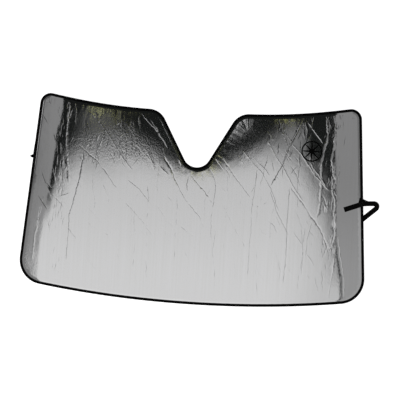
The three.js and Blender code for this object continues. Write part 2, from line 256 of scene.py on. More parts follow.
# %% Creases read from the photograph
CREASES = [
    (1.1, [(71, 101), (70, 112), (67, 140), (68, 160), (69, 183)]),
    (0.7, [(76, 101), (77, 114), (76, 126)]),
    (-1.0, [(84, 154), (80, 175), (74, 200), (70, 214), (68, 240), (66, 261)]),
    (0.26, [(93, 173), (94, 198)]),
    (0.33, [(98, 150), (99, 168)]),
    (0.33, [(88, 110), (96, 118), (103, 126), (115, 145), (123, 158), (133, 171)]),
    (-0.55, [(80, 145), (89, 153), (98, 161), (108, 175), (118, 189)]),
    (0.2, [(40, 111), (51, 125)]),
    (-0.62, [(41, 169), (46, 181), (53, 189)]),
    (-0.55, [(39, 195), (48, 210)]),
    (-0.42, [(128, 179), (139, 189)]),
    (0.35, [(141, 112), (146, 119), (152, 126), (158, 132), (162, 140)]),
    (0.26, [(126, 123), (134, 135), (137, 145), (147, 156), (156, 166)]),
    (-0.62, [(164, 156), (170, 167), (175, 178), (180, 190), (187, 201), (199, 216), (205, 229)]),
    (-0.55, [(191, 176), (202, 188), (214, 205)]),
    (-0.42, [(210, 169), (214, 177), (216, 183), (215, 195), (213, 205), (211, 223), (211, 250)]),
    (-0.62, [(189, 173), (187, 182), (187, 195)]),
    (-0.42, [(177, 187), (177, 205), (176, 229), (174, 262)]),
    (0.2, [(159, 157), (158, 187)]),
    (-0.42, [(148, 182), (148, 205), (147, 229), (146, 285)]),
    (-0.48, [(223, 159), (231, 171), (237, 180), (245, 190), (251, 199)]),
    (0.29, [(242, 149), (252, 163), (262, 173), (271, 190), (279, 213)]),
    (0.33, [(265, 137), (278, 160), (284, 169), (291, 183), (303, 202)]),
    (-0.62, [(290, 187), (303, 204), (307, 211), (320, 229), (323, 236), (328, 252)]),
    (0.26, [(282, 126), (291, 143), (300, 153), (305, 161), (316, 177), (331, 194)]),
    (0.33, [(307, 121), (311, 128), (323, 145)]),
    (-0.8, [(301, 123), (297, 133), (290, 145), (287, 152), (283, 164), (277, 174), (270, 186)]),
    (-0.55, [(270, 188), (277, 212), (289, 236)]),
    (-0.42, [(257, 167), (255, 187), (252, 208), (251, 229), (247, 280)]),
    (1.0, [(326, 116), (327, 135), (326, 141), (321, 164), (321, 186), (319, 209), (316, 218)]),
    (0.8, [(335, 116), (334, 136), (332, 153), (331, 160), (333, 174), (335, 180), (331, 192)]),
    (-0.7, [(331, 192), (334, 201), (333, 213), (334, 234), (329, 250)]),
    (0.5, [(334, 255), (332, 271), (330, 285), (328, 300)]),
    (-0.5, [(337, 236), (340, 259), (343, 280), (344, 299)]),
    (-0.55, [(290, 188), (288, 205), (287, 221), (286, 255), (283, 284)]),
    (0.39, [(302, 120), (304, 127), (303, 134), (305, 141)]),
    (0.39, [(307, 119), (305, 125), (307, 131), (306, 139)]),
    (-0.42, [(134, 205), (135, 240), (133, 275)]),
    (-0.34, [(120, 232), (118, 262), (120, 290)]),
    (-0.42, [(216, 225), (213, 250), (215, 290)]),
    (0.5, [(121, 132), (120, 140), (120, 149)]),
    (0.55, [(127, 133), (126, 143), (127, 155), (126, 165)]),
    (0.45, [(133, 140), (132, 150), (131, 158)]),
    (0.5, [(100, 133), (97, 141), (98, 150), (96, 160), (97, 172)]),
    (-0.62, [(109, 133), (108, 142), (106, 148)]),
    (0.45, [(105, 135), (101, 143), (99, 150)]),
    (0.4, [(279, 119), (281, 126), (279, 131)]),
    (0.25, [(44, 195), (42, 206), (39, 219), (36, 233), (34, 247), (32, 262)]),
    (-0.3, [(41, 204), (39, 217), (37, 228)]),
    (-0.28, [(131, 180), (140, 190), (152, 205)]),
    (-0.26, [(148, 185), (149, 200), (148, 213)]),
    (-0.26, [(158, 173), (157, 185), (158, 197)]),
    (-0.28, [(52, 193), (59, 201), (66, 209)]),
    (-0.26, [(124, 201), (139, 217), (155, 238)]),
    (-0.26, [(155, 203), (167, 219), (176, 231)]),
    (-0.26, [(57, 195), (56, 220), (57, 243)]),
    (-0.26, [(94, 189), (95, 201), (94, 213)]),
    (-0.26, [(222, 203), (229, 217), (236, 231), (247, 250)]),
    (-0.26, [(257, 247), (256, 270), (257, 296)]),
    (-0.26, [(302, 235), (303, 256), (301, 277)]),
]
CREASE_STEP = 0.004
CREASE_FOOT = (0.00045, 0.00058)
CREASE_BROAD = (0.8, 1.1)
CREASE_WOBBLE = 0.0024
CREASE_WOBBLE_RUN = 0.009
CREASE_BEND = 0.0030
CREASE_BEND_RUN = 0.035
CREASE_STRENGTH = 0.9
CREASE_BREAKS = (0.9, 0.4)
CREASE_BREAK_RUN = 0.023
CREASE_TAPER = 0.030
CREASE_SCALE = 0.5


class Crease:
    """A line on the sheet, with how high the film stands along it."""

    def __init__(self, height, points, seed=0.0):
        narrow, broad = CREASE_FOOT
        high = smooth(abs(height), *CREASE_BROAD)
        self.foot = narrow + (broad - narrow) * high
        line = evenly(np.array(points), CREASE_STEP)
        run = np.gradient(line, axis=0)
        across = unit(np.stack([-run[:, 1], run[:, 0]], axis=1))
        wobble = CREASE_WOBBLE * grain(line, CREASE_WOBBLE_RUN, seed)
        wobble += CREASE_BEND * grain(line, CREASE_BEND_RUN, seed + 0.3)
        self.line = line + across * wobble[:, None]
        self.across = across
        along = np.arange(len(line)) * CREASE_STEP
        ends = np.minimum(along, along[::-1])
        breaks = CREASE_BREAKS[0] + (CREASE_BREAKS[1] - CREASE_BREAKS[0]) * high
        strength = CREASE_STRENGTH + breaks * grain(line, CREASE_BREAK_RUN, seed + 0.5)
        self.height = height * CREASE_SCALE * MM * strength * smooth(ends, -CREASE_STEP, CREASE_TAPER)


creases = []
for number, (height, pixels) in enumerate(CREASES):
    on_sheet = [on_floor(pixel) for pixel in pixels]
    creases.append(Crease(height, on_sheet, seed=number))
print("creases from the photograph:", len(creases))

# %% [markdown]
# Between the long creases the film carries many short ones. They come in families, each with its
# place, its direction and its length: crinkles along the two ridges, where the roll was tightest,
# upright wrinkles in the upper corners, and slanting ones all over. A fixed seed draws them.

# %% Short creases
SHORT_SEED = 11
SHORT_BEND = 0.15
FAMILIES = {
    # name: count, sides, |x| range, y range, degrees and their spread, lengths, heights
    "ridge crinkles": (130, (-1, 1), (0.525, 0.585), (-0.36, 0.39), (90, 9), (0.02, 0.07), (0.12, 0.60)),
    "corner wrinkles": (60, (-1, 1), (0.25, 0.54), (0.10, 0.38), (92, 10), (0.02, 0.08), (0.10, 0.36)),
    "left wrinkles": (60, (-1,), (0.22, 0.47), (0.12, 0.30), (92, 12), (0.02, 0.065), (0.20, 0.56)),
    "slanting creases": (80, (-1, 1), (0.02, 0.56), (-0.30, 0.34), (-56, 10), (0.03, 0.11), (0.08, 0.34)),
    "crossing creases": (24, (-1, 1), (0.20, 0.56), (-0.20, 0.34), (-122, 12), (0.025, 0.07), (0.08, 0.30)),
    "roll lines": (30, (-1, 1), (0.03, 0.50), (-0.36, 0.00), (90, 3), (0.10, 0.26), (0.12, 0.26)),
}
rng = np.random.default_rng(SHORT_SEED)
for count, sides, beside, upward, (slant, spread), lengths, heights in FAMILIES.values():
    for _ in range(count):
        start = np.array([rng.choice(sides) * rng.uniform(*beside), rng.uniform(*upward)])
        turn = math.radians(rng.normal(slant, spread))
        bend = rng.normal(0, SHORT_BEND)
        length = rng.uniform(*lengths)
        way = np.array([[math.cos(angle), math.sin(angle)] for angle in (turn, turn + bend)])
        points = [start, start + way[0] * length / 2, start + way.sum(axis=0) * length / 2]
        height = rng.choice([-1, 1]) * rng.uniform(*heights)
        creases.append(Crease(height, points, seed=len(creases)))
print("creases with the short ones:", len(creases))

# %% [markdown]
# ## Foil sheet
#
# The face is a mesh of triangles laid out with a constrained Delaunay call: an even field of
# points, rows of points along the bound edge, and rows on every crease, whose lines become edges
# of the mesh. So a crease stays a crisp line, which a plain grid would turn into steps. The back
# gets a coarser layout, and a wall joins the two, pinched thin where the tape grips it.

# %% Layout of the face's points
FIELD_STEP = 0.0068
FIELD_JITTER = 0.0010
FIELD_HALF_HEIGHT = 0.44
RIM_INSET = TAPE_THICKNESS + CLEARANCE
SEAM_INSET = TAPE_WIDTH + CLEARANCE
FIELD_INSET = SEAM_INSET + PINCH_RAMP
PRESSED_ROW = 0.0022
EDGE_INSETS = (RIM_INSET, SEAM_INSET, SEAM_INSET + PRESSED_ROW, FIELD_INSET)
PUCKER_INSETS = (0.0195, 0.0235, 0.028, 0.033, 0.039, 0.046, 0.054, 0.063)
CREASE_ROWS = (-0.0020, -0.0007, 0.0007, 0.0020)
POINT_GAP = 0.0032
FOLD_MARGIN = 0.003
FIELD_MARGIN = 0.004
ROW_SLIP = 0.0015
MERGE_DISTANCE = 1e-5
TOP_FROM, TOP_FULL = 0.02, 0.20
TOP_SHARE = 0.3


def field_points(step, jitter):
    """Points all over the sheet, in rows that are half a step apart from one to the next."""
    across = np.arange(-BOTTOM_WIDTH / 2, BOTTOM_WIDTH / 2, step)
    upward = np.arange(-FIELD_HALF_HEIGHT, FIELD_HALF_HEIGHT, step * math.sqrt(0.75))
    points = np.stack(np.meshgrid(across, upward), axis=-1)
    points[1::2, :, 0] += step / 2
    points = points.reshape(-1, 2)
    return points + rng.uniform(-jitter, jitter, points.shape)


def well_inside(points, inset):
    return points[nearest_station(points)[1] > inset]


def clear_of(points, others, gap):
    """The points that keep a gap to all the others."""
    tree = search_tree(others)
    return np.array([p for p in points if tree.find((*p, 0))[2] > gap])


def triangulated(rows, links):
    """Points joined to triangles that keep the outline and the links as edges."""
    loop = [(i, (i + 1) % len(rows[0])) for i in range(len(rows[0]))]
    corners = [Vector(p) for p in np.concatenate(rows)]
    result = delaunay_2d_cdt(corners, loop + links, [], 1, MERGE_DISTANCE)
    points, lines, triangles, sources, causes, _ = result
    border = np.zeros(len(rows[0]), int)
    for corner, given in enumerate(sources):
        for i in given:
            if i < len(border):
                border[i] = corner
    kept = [line for line, cause in zip(lines, causes) if any(i >= len(loop) for i in cause)]
    return np.array(points), np.array(triangles), border, kept


edge_rows = [rim[::3] + inward[::3] * inset for inset in EDGE_INSETS]
top_rim = smooth(rim[:, 1], TOP_FROM, TOP_FULL) > TOP_SHARE
for inset in PUCKER_INSETS:
    row = rim[top_rim] + inward[top_rim] * inset
    edge_rows.append(well_inside(row, inset - ROW_SLIP))

layout = list(edge_rows)
folds = []
taken = sum(len(row) for row in layout)
for crease in creases:
    clear = nearest_station(crease.line)[1] > FIELD_INSET + FOLD_MARGIN
    crease.line, crease.across = crease.line[clear], crease.across[clear]
    crease.height = crease.height[clear]
    count = len(crease.line)
    if count < 2:
        continue
    layout.append(crease.line)
    folds += [(taken + i, taken + i + 1) for i in range(count - 1)]
    taken += count
    for row in CREASE_ROWS:
        beside = well_inside(crease.line + crease.across * row, FIELD_INSET + FOLD_MARGIN)
        layout.append(beside)
        taken += len(beside)
creases = [crease for crease in creases if len(crease.line) > 1]
field = well_inside(field_points(FIELD_STEP, FIELD_JITTER), FIELD_INSET + FIELD_MARGIN)
layout.append(clear_of(field, np.concatenate(layout[len(EDGE_INSETS):]), POINT_GAP))
flat, triangles, face_border, fold_lines = triangulated(layout, folds)
print("face layout:", len(flat), "points,", len(triangles), "triangles")

# %% [markdown]
# The heights come next. Each crease raises or sinks the film along its line and dies away within
# a few millimetres. Near the seam the tape gathers the film into small puckers that run in from
# the edge: long, deep ones along the top, where the sheet is pulled up, and short ones elsewhere.

# %% Heights of the sheet
PUCKERS = (
    # height, width, length, reach at the top, reach elsewhere
    (0.00012, 0.0065, 0.040, 0.020, 0.006),
    (0.00035, 0.0150, 0.080, 0.040, 0.004),
)
PUCKER_STRENGTH = (0.55, 0.90)
PUCKER_STRENGTH_RUN = (0.10, 1.0)
PUCKER_SEED = 4.4
PUCKER_AT_SIDES = 0.25
QUILT_HEIGHT = 0.00004
QUILT_SIZE = (0.011, 0.020)
QUILT_SEED = 5.3
RELIEF_REACH = 0.02
RELIEF_MARGIN = 0.004


def crease_relief(points, lines):
    """How far the creases raise or sink the film at each point."""
    relief = np.zeros(len(points))
    for crease in lines:
        low = crease.line.min(axis=0) - RELIEF_REACH
        high = crease.line.max(axis=0) + RELIEF_REACH
        near = np.flatnonzero(((points > low) & (points < high)).all(axis=1))
        start, run = crease.line[:-1], np.diff(crease.line, axis=0)
        share = ((points[near, None] - start) * run).sum(axis=2) / (run**2).sum(axis=1)
        share = np.clip(share, 0, 1)
        gap = np.linalg.norm(points[near, None] - (start + share[..., None] * run), axis=2)
        best = gap.argmin(axis=1)
        rows = np.arange(len(near))
        part = share[rows, best]
        height = crease.height[best] * (1 - part) + crease.height[best + 1] * part
        relief[near] += height * np.exp(-gap[rows, best] / crease.foot)
    return relief


def pucker_relief(station, inset):
    """The gathers that the binding makes along the edge: fine, short ones and wide, long ones."""
    at_top = smooth(rim[station, 1], TOP_FROM, TOP_FULL)
    along = np.stack([station * STATION_STEP, inset], axis=1)
    mean, swing = PUCKER_STRENGTH
    strength = mean + swing * grain(along, PUCKER_STRENGTH_RUN, PUCKER_SEED)
    strength *= PUCKER_AT_SIDES + (1 - PUCKER_AT_SIDES) * at_top
    relief = np.zeros(len(inset))
    for height, width, length, top_reach, side_reach in PUCKERS:
        reach = side_reach + (top_reach - side_reach) * at_top
        gathers = grain(along, (width, length), width * 1000)
        relief += height * strength * gathers * np.exp(-inset / reach)
    return relief


def half_thickness(inset):
    """The foam is pressed thin where the tape grips it, and swells to its full thickness inside."""
    full, pinched = SHEET_THICKNESS / 2, PINCHED_THICKNESS / 2
    return pinched + (full - pinched) * smooth(inset, SEAM_INSET, FIELD_INSET)


station, inset = nearest_station(flat)
quilt = QUILT_HEIGHT * grain(flat, QUILT_SIZE, QUILT_SEED)
relief = crease_relief(flat, creases) + quilt
relief *= smooth(inset, SEAM_INSET, FIELD_INSET + RELIEF_MARGIN)
relief += pucker_relief(station, inset) * smooth(inset, RIM_INSET, SEAM_INSET + RELIEF_MARGIN)
face_height = lie(flat) + SHEET_THICKNESS / 2 + half_thickness(inset) + relief
print("face from", round(face_height.min() / MM, 2), "to", round(face_height.max() / MM, 2), "mm")

# %% Back of the sheet
BACK_STEP = 0.013
BACK_MARGIN = 0.006
BACK_FADE = 0.020
BACK_SHARE = 0.5
THROUGH_HEIGHT = 0.00030

through = [crease for crease in creases if abs(crease.height).max() > THROUGH_HEIGHT]
back_rows = [edge_rows[0]] + [rim[::6] + inward[::6] * inset for inset in (SEAM_INSET, FIELD_INSET)]
back_rows += [crease.line for crease in through]
back_field = well_inside(field_points(BACK_STEP, FIELD_JITTER), FIELD_INSET + BACK_MARGIN)
back_rows.append(clear_of(back_field, np.concatenate(back_rows[3:]), POINT_GAP * 2))
back_flat, back_triangles, back_border, _ = triangulated(back_rows, [])
back_inset = nearest_station(back_flat)[1]
back_relief = BACK_SHARE * crease_relief(back_flat, through)
back_relief *= smooth(back_inset, SEAM_INSET, BACK_FADE)
back_height = lie(back_flat) + SHEET_THICKNESS / 2 - half_thickness(back_inset) + back_relief
back_height = np.maximum(back_height, 0.0)
print("back layout:", len(back_flat), "points,", len(back_triangles), "triangles")

# %% [markdown]
# Face, back and the wall between them make one closed skin. The edges along the folds are marked
# sharp, so that they shade as folds, and everything else shades smooth.

# %% Foil sheet
def new_object(name, vertices, faces, smooth_faces=True):
    """A mesh object at the origin, with its place in its mesh."""
    mesh = bpy.data.meshes.new(name)
    mesh.from_pydata(np.asarray(vertices).tolist(), [], [list(face) for face in faces])
    mesh.validate()
    if smooth_faces:
        mesh.shade_smooth()
    obj = bpy.data.objects.new(name, mesh)
    bpy.context.scene.collection.objects.link(obj)
    return obj


face_count = len(flat)
face_vertices = np.column_stack([flat, face_height])
sheet_vertices = np.concatenate([face_vertices, np.column_stack([back_flat, back_height])])
sheet_faces = triangles.tolist() + (back_triangles[:, ::-1] + face_count).tolist()
low_border = back_border + face_count
walls = np.stack([face_border, low_border, np.roll(low_border, -1), np.roll(face_border, -1)], axis=1)
sheet_faces += walls.tolist()
foil_sheet = new_object("foil_sheet", sheet_vertices, sheet_faces)
fold_pairs = {tuple(sorted(line)) for line in fold_lines}
for edge in foil_sheet.data.edges:
    edge.use_edge_sharp = tuple(sorted(edge.vertices)) in fold_pairs
face_tree = BVHTree.FromPolygons(face_vertices.tolist(), triangles.tolist())
print("foil_sheet:", len(sheet_faces), "faces")

# %% [markdown]
# ## Materials
#
# One function adds a node with its settings and its links, and one turns a hex colour into linear
# light. The nodes and settings that most materials need get short names. Each finish below starts
# from what the real surface is.

# %% Helpers for materials
PLACE, OUTPUT = "ShaderNodeTexCoord", "ShaderNodeOutputMaterial"
MATH, VECTOR_MATH = "ShaderNodeMath", "ShaderNodeVectorMath"
NOISE, RAMP, MIX = "ShaderNodeTexNoise", "ShaderNodeMapRange", "ShaderNodeMix"
BUMP, SURFACE = "ShaderNodeBump", "ShaderNodeBsdfPrincipled"
SUM, DIFFERENCE = {"operation": "ADD"}, {"operation": "SUBTRACT"}
PRODUCT, LARGER = {"operation": "MULTIPLY"}, {"operation": "MAXIMUM"}
POWER, SIZE_OF = {"operation": "POWER"}, {"operation": "ABSOLUTE"}
COLOURS = {"data_type": "RGBA"}
SOFT = {"interpolation_type": "SMOOTHSTEP"}


def linear(code):
    """An sRGB hex colour as linear light."""
    channels = [int(code[i : i + 2], 16) / 255 for i in (1, 3, 5)]
    return [c / 12.92 if c <= 0.04045 else ((c + 0.055) / 1.055) ** 2.4 for c in channels] + [1.0]


def grey(level):
    return (level, level, level, 1.0)


def add(tree, kind, settings=None, **inputs):
    """Adds a node. Settings are its properties; inputs are values, or sockets to link from."""
    node = tree.nodes.new(kind)
    for name, value in (settings or {}).items():
        setattr(node, name, value)
    for name, value in inputs.items():
        key = int(name[1:]) if name[0] == "_" else name.replace("_", " ")
        socket = node.inputs[key]
        if isinstance(value, bpy.types.NodeSocket):
            tree.links.new(value, socket)
        else:
            socket.default_value = value
    return node


def span(low, high, start=0.0, end=1.0):
    """A ramp's inputs: where it starts and where it ends, and what it is worth there."""
    return {"From_Min": low, "From_Max": high, "To_Min": start, "To_Max": end}


def new_material(name):
    """An empty node material, and its tree."""
    material = bpy.data.materials.new(name)
    material.use_nodes = True
    material.node_tree.nodes.clear()
    return material, material.node_tree


print("the middle grey #808080 is", round(linear("#808080")[0], 3), "in linear light")

# %% [markdown]
# Aluminised film is a true metal skin: bright, slightly grey and almost mirror-smooth. The foam
# under it gives it a pebbled surface a few millimetres across, which breaks the edge of every
# reflection into specks. The pebbles are deeper in some patches than in others, and deepest where
# the film is crinkled. Drawing the film leaves faint lines down the sheet.

# %% Aluminised film
PEBBLE = 0.0040
PEBBLE_DEPTH = 0.00030
PEBBLE_STRETCH = (1.0, 0.5, 1.0)
PATCH = 0.11
PATCH_DEPTH = (0.35, 0.70, 0.08, 0.34)
CRINKLED_AT = (-0.34, 0.215, 0.0)
CRINKLED_REACH = (0.20, 0.085)
CRINKLED_DEPTH = (0.5, 1.3, 0.60, 0.0)
DRAW_LINE_WIDTH = 0.007
DRAW_LINE_LENGTH = 0.40
DRAW_LINE_SHADE = (0.25, 0.75)
FILM_COLOURS = ("#F1F1F1", "#F5F5F6")
FILM_ROUGHNESS = (0.3, 0.7, 0.05, 0.08)


def aluminised_film():
    material, tree = new_material("aluminised_film")
    place = add(tree, PLACE).outputs["Object"]
    longer = add(tree, VECTOR_MATH, PRODUCT, _0=place, _1=PEBBLE_STRETCH).outputs[0]
    pebbles = add(tree, NOISE, Vector=longer, Scale=1 / PEBBLE, Detail=2.0, Roughness=0.55).outputs["Fac"]
    patches = add(tree, NOISE, Vector=place, Scale=1 / PATCH, Detail=1.0).outputs["Fac"]
    depth = add(tree, RAMP, Value=patches, **span(*PATCH_DEPTH)).outputs[0]
    off = add(tree, VECTOR_MATH, DIFFERENCE, _0=place, _1=CRINKLED_AT).outputs[0]
    share = (1 / CRINKLED_REACH[0], 1 / CRINKLED_REACH[1], 0.0)
    off = add(tree, VECTOR_MATH, PRODUCT, _0=off, _1=share).outputs[0]
    away = add(tree, VECTOR_MATH, {"operation": "LENGTH"}, _0=off).outputs["Value"]
    crinkled = add(tree, RAMP, SOFT, Value=away, **span(*CRINKLED_DEPTH)).outputs[0]
    depth = add(tree, MATH, SUM, _0=depth, _1=crinkled).outputs[0]
    uneven = add(tree, MATH, PRODUCT, _0=pebbles, _1=depth).outputs[0]
    stretch = (1 / DRAW_LINE_WIDTH, 1 / DRAW_LINE_LENGTH, 1.0)
    drawn = add(tree, VECTOR_MATH, PRODUCT, _0=place, _1=stretch).outputs[0]
    lines = add(tree, NOISE, Vector=drawn, Scale=1.0, Detail=3.0).outputs["Fac"]
    shade = add(tree, RAMP, Value=lines, **span(*DRAW_LINE_SHADE)).outputs[0]
    low, high = map(linear, FILM_COLOURS)
    colour = add(tree, MIX, COLOURS, _0=shade, _6=low, _7=high).outputs[2]
    rough = add(tree, RAMP, Value=pebbles, **span(*FILM_ROUGHNESS)).outputs[0]
    relief = add(tree, BUMP, Height=uneven, Distance=PEBBLE_DEPTH, Strength=1.0).outputs[0]
    film = add(tree, SURFACE, Base_Color=colour, Metallic=1.0, Roughness=rough, Normal=relief)
    add(tree, OUTPUT, Surface=film.outputs["BSDF"])
    print("aluminised film:", len(tree.nodes), "nodes")
    return material


foil_sheet.data.materials.append(aluminised_film())

# %% [markdown]
# ## Sweeps
#
# The tape and the strap are both bands swept along a line. One helper joins rings of points into
# a closed skin and writes a UV map in metres, along and around the band. The weave reads it: its
# threads are waves along the band and around it, one thread apart, with a little fuzz on top. The
# colour follows that relief, lighter on the threads and darker in the hollows: painted shade.

# %% Sweep helper
def sweep(name, rings, around, material):
    """A closed skin through open-ended rings, capped at both ends, with UVs in metres."""
    rings = np.asarray(rings)
    stations, sides = rings.shape[:2]
    faces = []
    for i in range(stations - 1):
        for j in range(sides):
            k = (j + 1) % sides
            faces.append([i * sides + j, i * sides + k, (i + 1) * sides + k, (i + 1) * sides + j])
    faces.append(list(range(sides))[::-1])
    faces.append(list(range((stations - 1) * sides, stations * sides)))
    obj = new_object(name, rings.reshape(-1, 3), faces)
    along = distances(rings.mean(axis=1))
    layer = obj.data.uv_layers.new(name="weave")
    around = np.append(around, around[-1] + around[1] - around[0])
    for polygon in obj.data.polygons:
        closing = len(polygon.loop_indices) == 4 and polygon.index % sides == sides - 1
        for loop_index in polygon.loop_indices:
            ring, side = divmod(obj.data.loops[loop_index].vertex_index, sides)
            layer.data[loop_index].uv = (along[ring], around[sides if closing and side == 0 else side])
    obj.data.materials.append(material)
    print(name, len(faces), "faces,", round(along[-1], 3), "m long")
    return obj


# %% Weave
RIB_SHARE = 0.6
FUZZ = 0.0006
WEAVE_SHADE = (-1.2, 2.0)
CLOTH_SHINE = 0.05


def weave(name, colours, threads, depth, roughness):
    """Cloth from the band's own UV map: threads across it and along it, one thread apart, with
    painted shade that darkens the hollows between the threads and lightens their tops.
    """
    material, tree = new_material(name)
    uv = add(tree, "ShaderNodeUVMap", {"uv_map": "weave"}).outputs["UV"]
    split = add(tree, "ShaderNodeSeparateXYZ", Vector=uv).outputs
    waves = []
    for axis, width in zip(("X", "Y"), threads):
        turn = add(tree, MATH, PRODUCT, _0=split[axis], _1=2 * math.pi / width).outputs[0]
        waves.append(add(tree, MATH, {"operation": "SINE"}, _0=turn).outputs[0])
    both = add(tree, MATH, PRODUCT, _0=waves[0], _1=waves[1]).outputs[0]
    ribs = add(tree, MATH, {"operation": "MULTIPLY_ADD"}, _0=waves[0], _1=RIB_SHARE, _2=both).outputs[0]
    fuzz = add(tree, NOISE, Vector=uv, Scale=1 / FUZZ, Detail=2.0).outputs["Fac"]
    height = add(tree, MATH, SUM, _0=ribs, _1=fuzz).outputs[0]
    # Painted shade: the colour darkens with the weave's height, in the hollows between threads.
    hollow_shade = add(tree, RAMP, Value=height, **span(*WEAVE_SHADE)).outputs[0]
    low, high = map(linear, colours)
    colour = add(tree, MIX, COLOURS, _0=hollow_shade, _6=low, _7=high).outputs[2]
    relief = add(tree, BUMP, Height=height, Distance=depth, Strength=1.0).outputs[0]
    cloth = add(tree, SURFACE, Base_Color=colour, Roughness=roughness, Normal=relief)
    cloth.inputs["Specular IOR Level"].default_value = CLOTH_SHINE
    add(tree, OUTPUT, Surface=cloth.outputs["BSDF"])
    return material


# %% [markdown]
# ## Binding tape
#
# One strip of grosgrain tape is folded round the edge and sewn through both faces. It starts on
# the left side, goes once round and laps over its own start, where its cut corner sticks out.

# %% Binding tape
TAPE_ROUNDING = 0.0011
TAPE_ARC_STEPS = 4
LAP_TOP = 0.180
LAP_LENGTH = 0.034
LAP_RISE = 0.040
LAP_CORNER = 0.012
LAP_CORNER_LENGTH = 0.016
LAP_CUT = (0.3, 0.005)
HEM_WANDER = 0.0004
HEM_WANDER_RUN = 0.014
HEM_SEED = 2.2
# A thread's hollow and its top: the darker one is painted shade on the black tape.
TAPE_COLOURS = ("#020202", "#080808")
TAPE_THREADS = (0.0009, 0.0007)
WEAVE_DEPTH = 0.00012


def tape_section(lifted, corner, wander):
    """Points round the folded tape: distance in from the edge, and height from the sheet's back."""
    low, high = -lifted, SHEET_THICKNESS + lifted
    outer = []
    for centre, start, pull in ((high - TAPE_ROUNDING, 90, corner), (low + TAPE_ROUNDING, 180, 0.0)):
        for step in range(TAPE_ARC_STEPS + 1):
            angle = math.radians(start + 90 * step / TAPE_ARC_STEPS)
            x = TAPE_ROUNDING - lifted + TAPE_ROUNDING * math.cos(angle) - pull
            outer.append((x, centre + TAPE_ROUNDING * math.sin(angle)))
    hem = TAPE_WIDTH + wander
    soft = TAPE_THICKNESS / 3
    wall = -lifted + TAPE_THICKNESS
    half_way = TAPE_WIDTH / 2
    top_arm = [(hem, high - soft), (hem - soft, high), (half_way, high)]
    low_arm = [(half_way, low), (hem - soft, low), (hem, low + soft)]
    inner = [
        (hem, low + TAPE_THICKNESS),
        (wall, low + TAPE_THICKNESS),
        (wall, high - TAPE_THICKNESS),
        (hem, high - TAPE_THICKNESS),
    ]
    return top_arm + outer + low_arm + inner


def place_ring(at, into, section):
    """A section set up at a place on the outline, at the height that the sheet has there."""
    section = np.array(section)
    flat_places = at + into * section[:, :1]
    return np.column_stack([flat_places, lie(flat_places) + section[:, 1]])


on_a_side = (rim[:, 1] > side_low[1]) & (rim[:, 1] < side_high[1])
left_side = np.flatnonzero(on_a_side & (rim[:, 0] < 0) & (inward[:, 0] > 0))
start_station = left_side[np.abs(rim[left_side, 1] - LAP_TOP).argmin()]
order = (start_station + np.arange(len(rim) + round(LAP_LENGTH / STATION_STEP) + 1)) % len(rim)
past_start = np.arange(len(order)) - len(rim)
lapped = TAPE_THICKNESS + CLEARANCE
lift = lapped * smooth(past_start * STATION_STEP, -LAP_RISE, -STATION_STEP)
to_end = (len(order) - 1 - np.arange(len(order))) * STATION_STEP
flare = LAP_CORNER * (1 - smooth(to_end, LAP_CORNER_LENGTH / 3, LAP_CORNER_LENGTH))
flare *= np.clip(LAP_CUT[0] + to_end / LAP_CUT[1], 0, 1)
along_hem = np.stack([order * STATION_STEP, 0 * order], axis=1)
wander = HEM_WANDER * grain(along_hem, HEM_WANDER_RUN, HEM_SEED)
tape_rings = []
for index, lifted, corner, drift in zip(order, lift, flare, wander):
    tape_rings.append(place_ring(rim[index], inward[index], tape_section(lifted, corner, drift)))
around = distances(tape_section(0, 0, 0))
tape_cloth = weave("grosgrain_tape", TAPE_COLOURS, TAPE_THREADS, WEAVE_DEPTH, roughness=0.9)
binding_tape = sweep("binding_tape", tape_rings, around, tape_cloth)

# %% [markdown]
# ## Stitches
#
# A lockstitch is the same short loop of thread again and again, so Geometry Nodes make it: the
# seam line is cut into equal steps, and a small rounded stitch is laid along the line at each.

# %% Stitch tree
STITCH_PITCH = 0.0032
STITCH_LENGTH = 0.0025
THREAD = 0.00045
THREAD_RISE = 0.15 * THREAD
THREAD_GRAIN = 0.0005
THREAD_COLOURS = ("#0B0B0B", "#202020")


def stitch_tree(material):
    """Geometry Nodes: a seam curve in, a row of stitches out."""
    tree = bpy.data.node_groups.new("stitches_along_a_seam", "GeometryNodeTree")
    tree.interface.new_socket("Geometry", in_out="INPUT", socket_type="NodeSocketGeometry")
    for name in ("Pitch", "Stitch length", "Thread"):
        tree.interface.new_socket(name, in_out="INPUT", socket_type="NodeSocketFloat")
    tree.interface.new_socket("Geometry", in_out="OUTPUT", socket_type="NodeSocketGeometry")
    given = add(tree, "NodeGroupInput").outputs
    seam = add(tree, "GeometryNodeMeshToCurve", Mesh=given["Geometry"]).outputs["Curve"]
    by_length = {"mode": "LENGTH"}
    places = add(tree, "GeometryNodeResampleCurve", by_length, Curve=seam, Length=given["Pitch"])
    tangent = add(tree, "GeometryNodeInputTangent").outputs["Tangent"]
    turned = add(tree, "FunctionNodeAlignRotationToVector", {"axis": "X"}, Vector=tangent)
    bead = add(tree, "GeometryNodeMeshUVSphere", Segments=8, Rings=5, Radius=0.5).outputs["Mesh"]
    thick = given["Thread"]
    size = add(tree, "ShaderNodeCombineXYZ", X=given["Stitch length"], Y=thick, Z=thick).outputs["Vector"]
    copies = add(
        tree,
        "GeometryNodeInstanceOnPoints",
        Points=places.outputs["Curve"],
        Instance=add(tree, "GeometryNodeTransform", Geometry=bead, Scale=size).outputs["Geometry"],
        Rotation=turned.outputs["Rotation"],
    )
    shape = copies.outputs["Instances"]
    for kind, more in (
        ("GeometryNodeRealizeInstances", {}),
        ("GeometryNodeSetShadeSmooth", {}),
        ("GeometryNodeSetMaterial", {"Material": material}),
    ):
        shape = add(tree, kind, Geometry=shape, **more).outputs["Geometry"]
    add(tree, "NodeGroupOutput", Geometry=shape)
    return tree


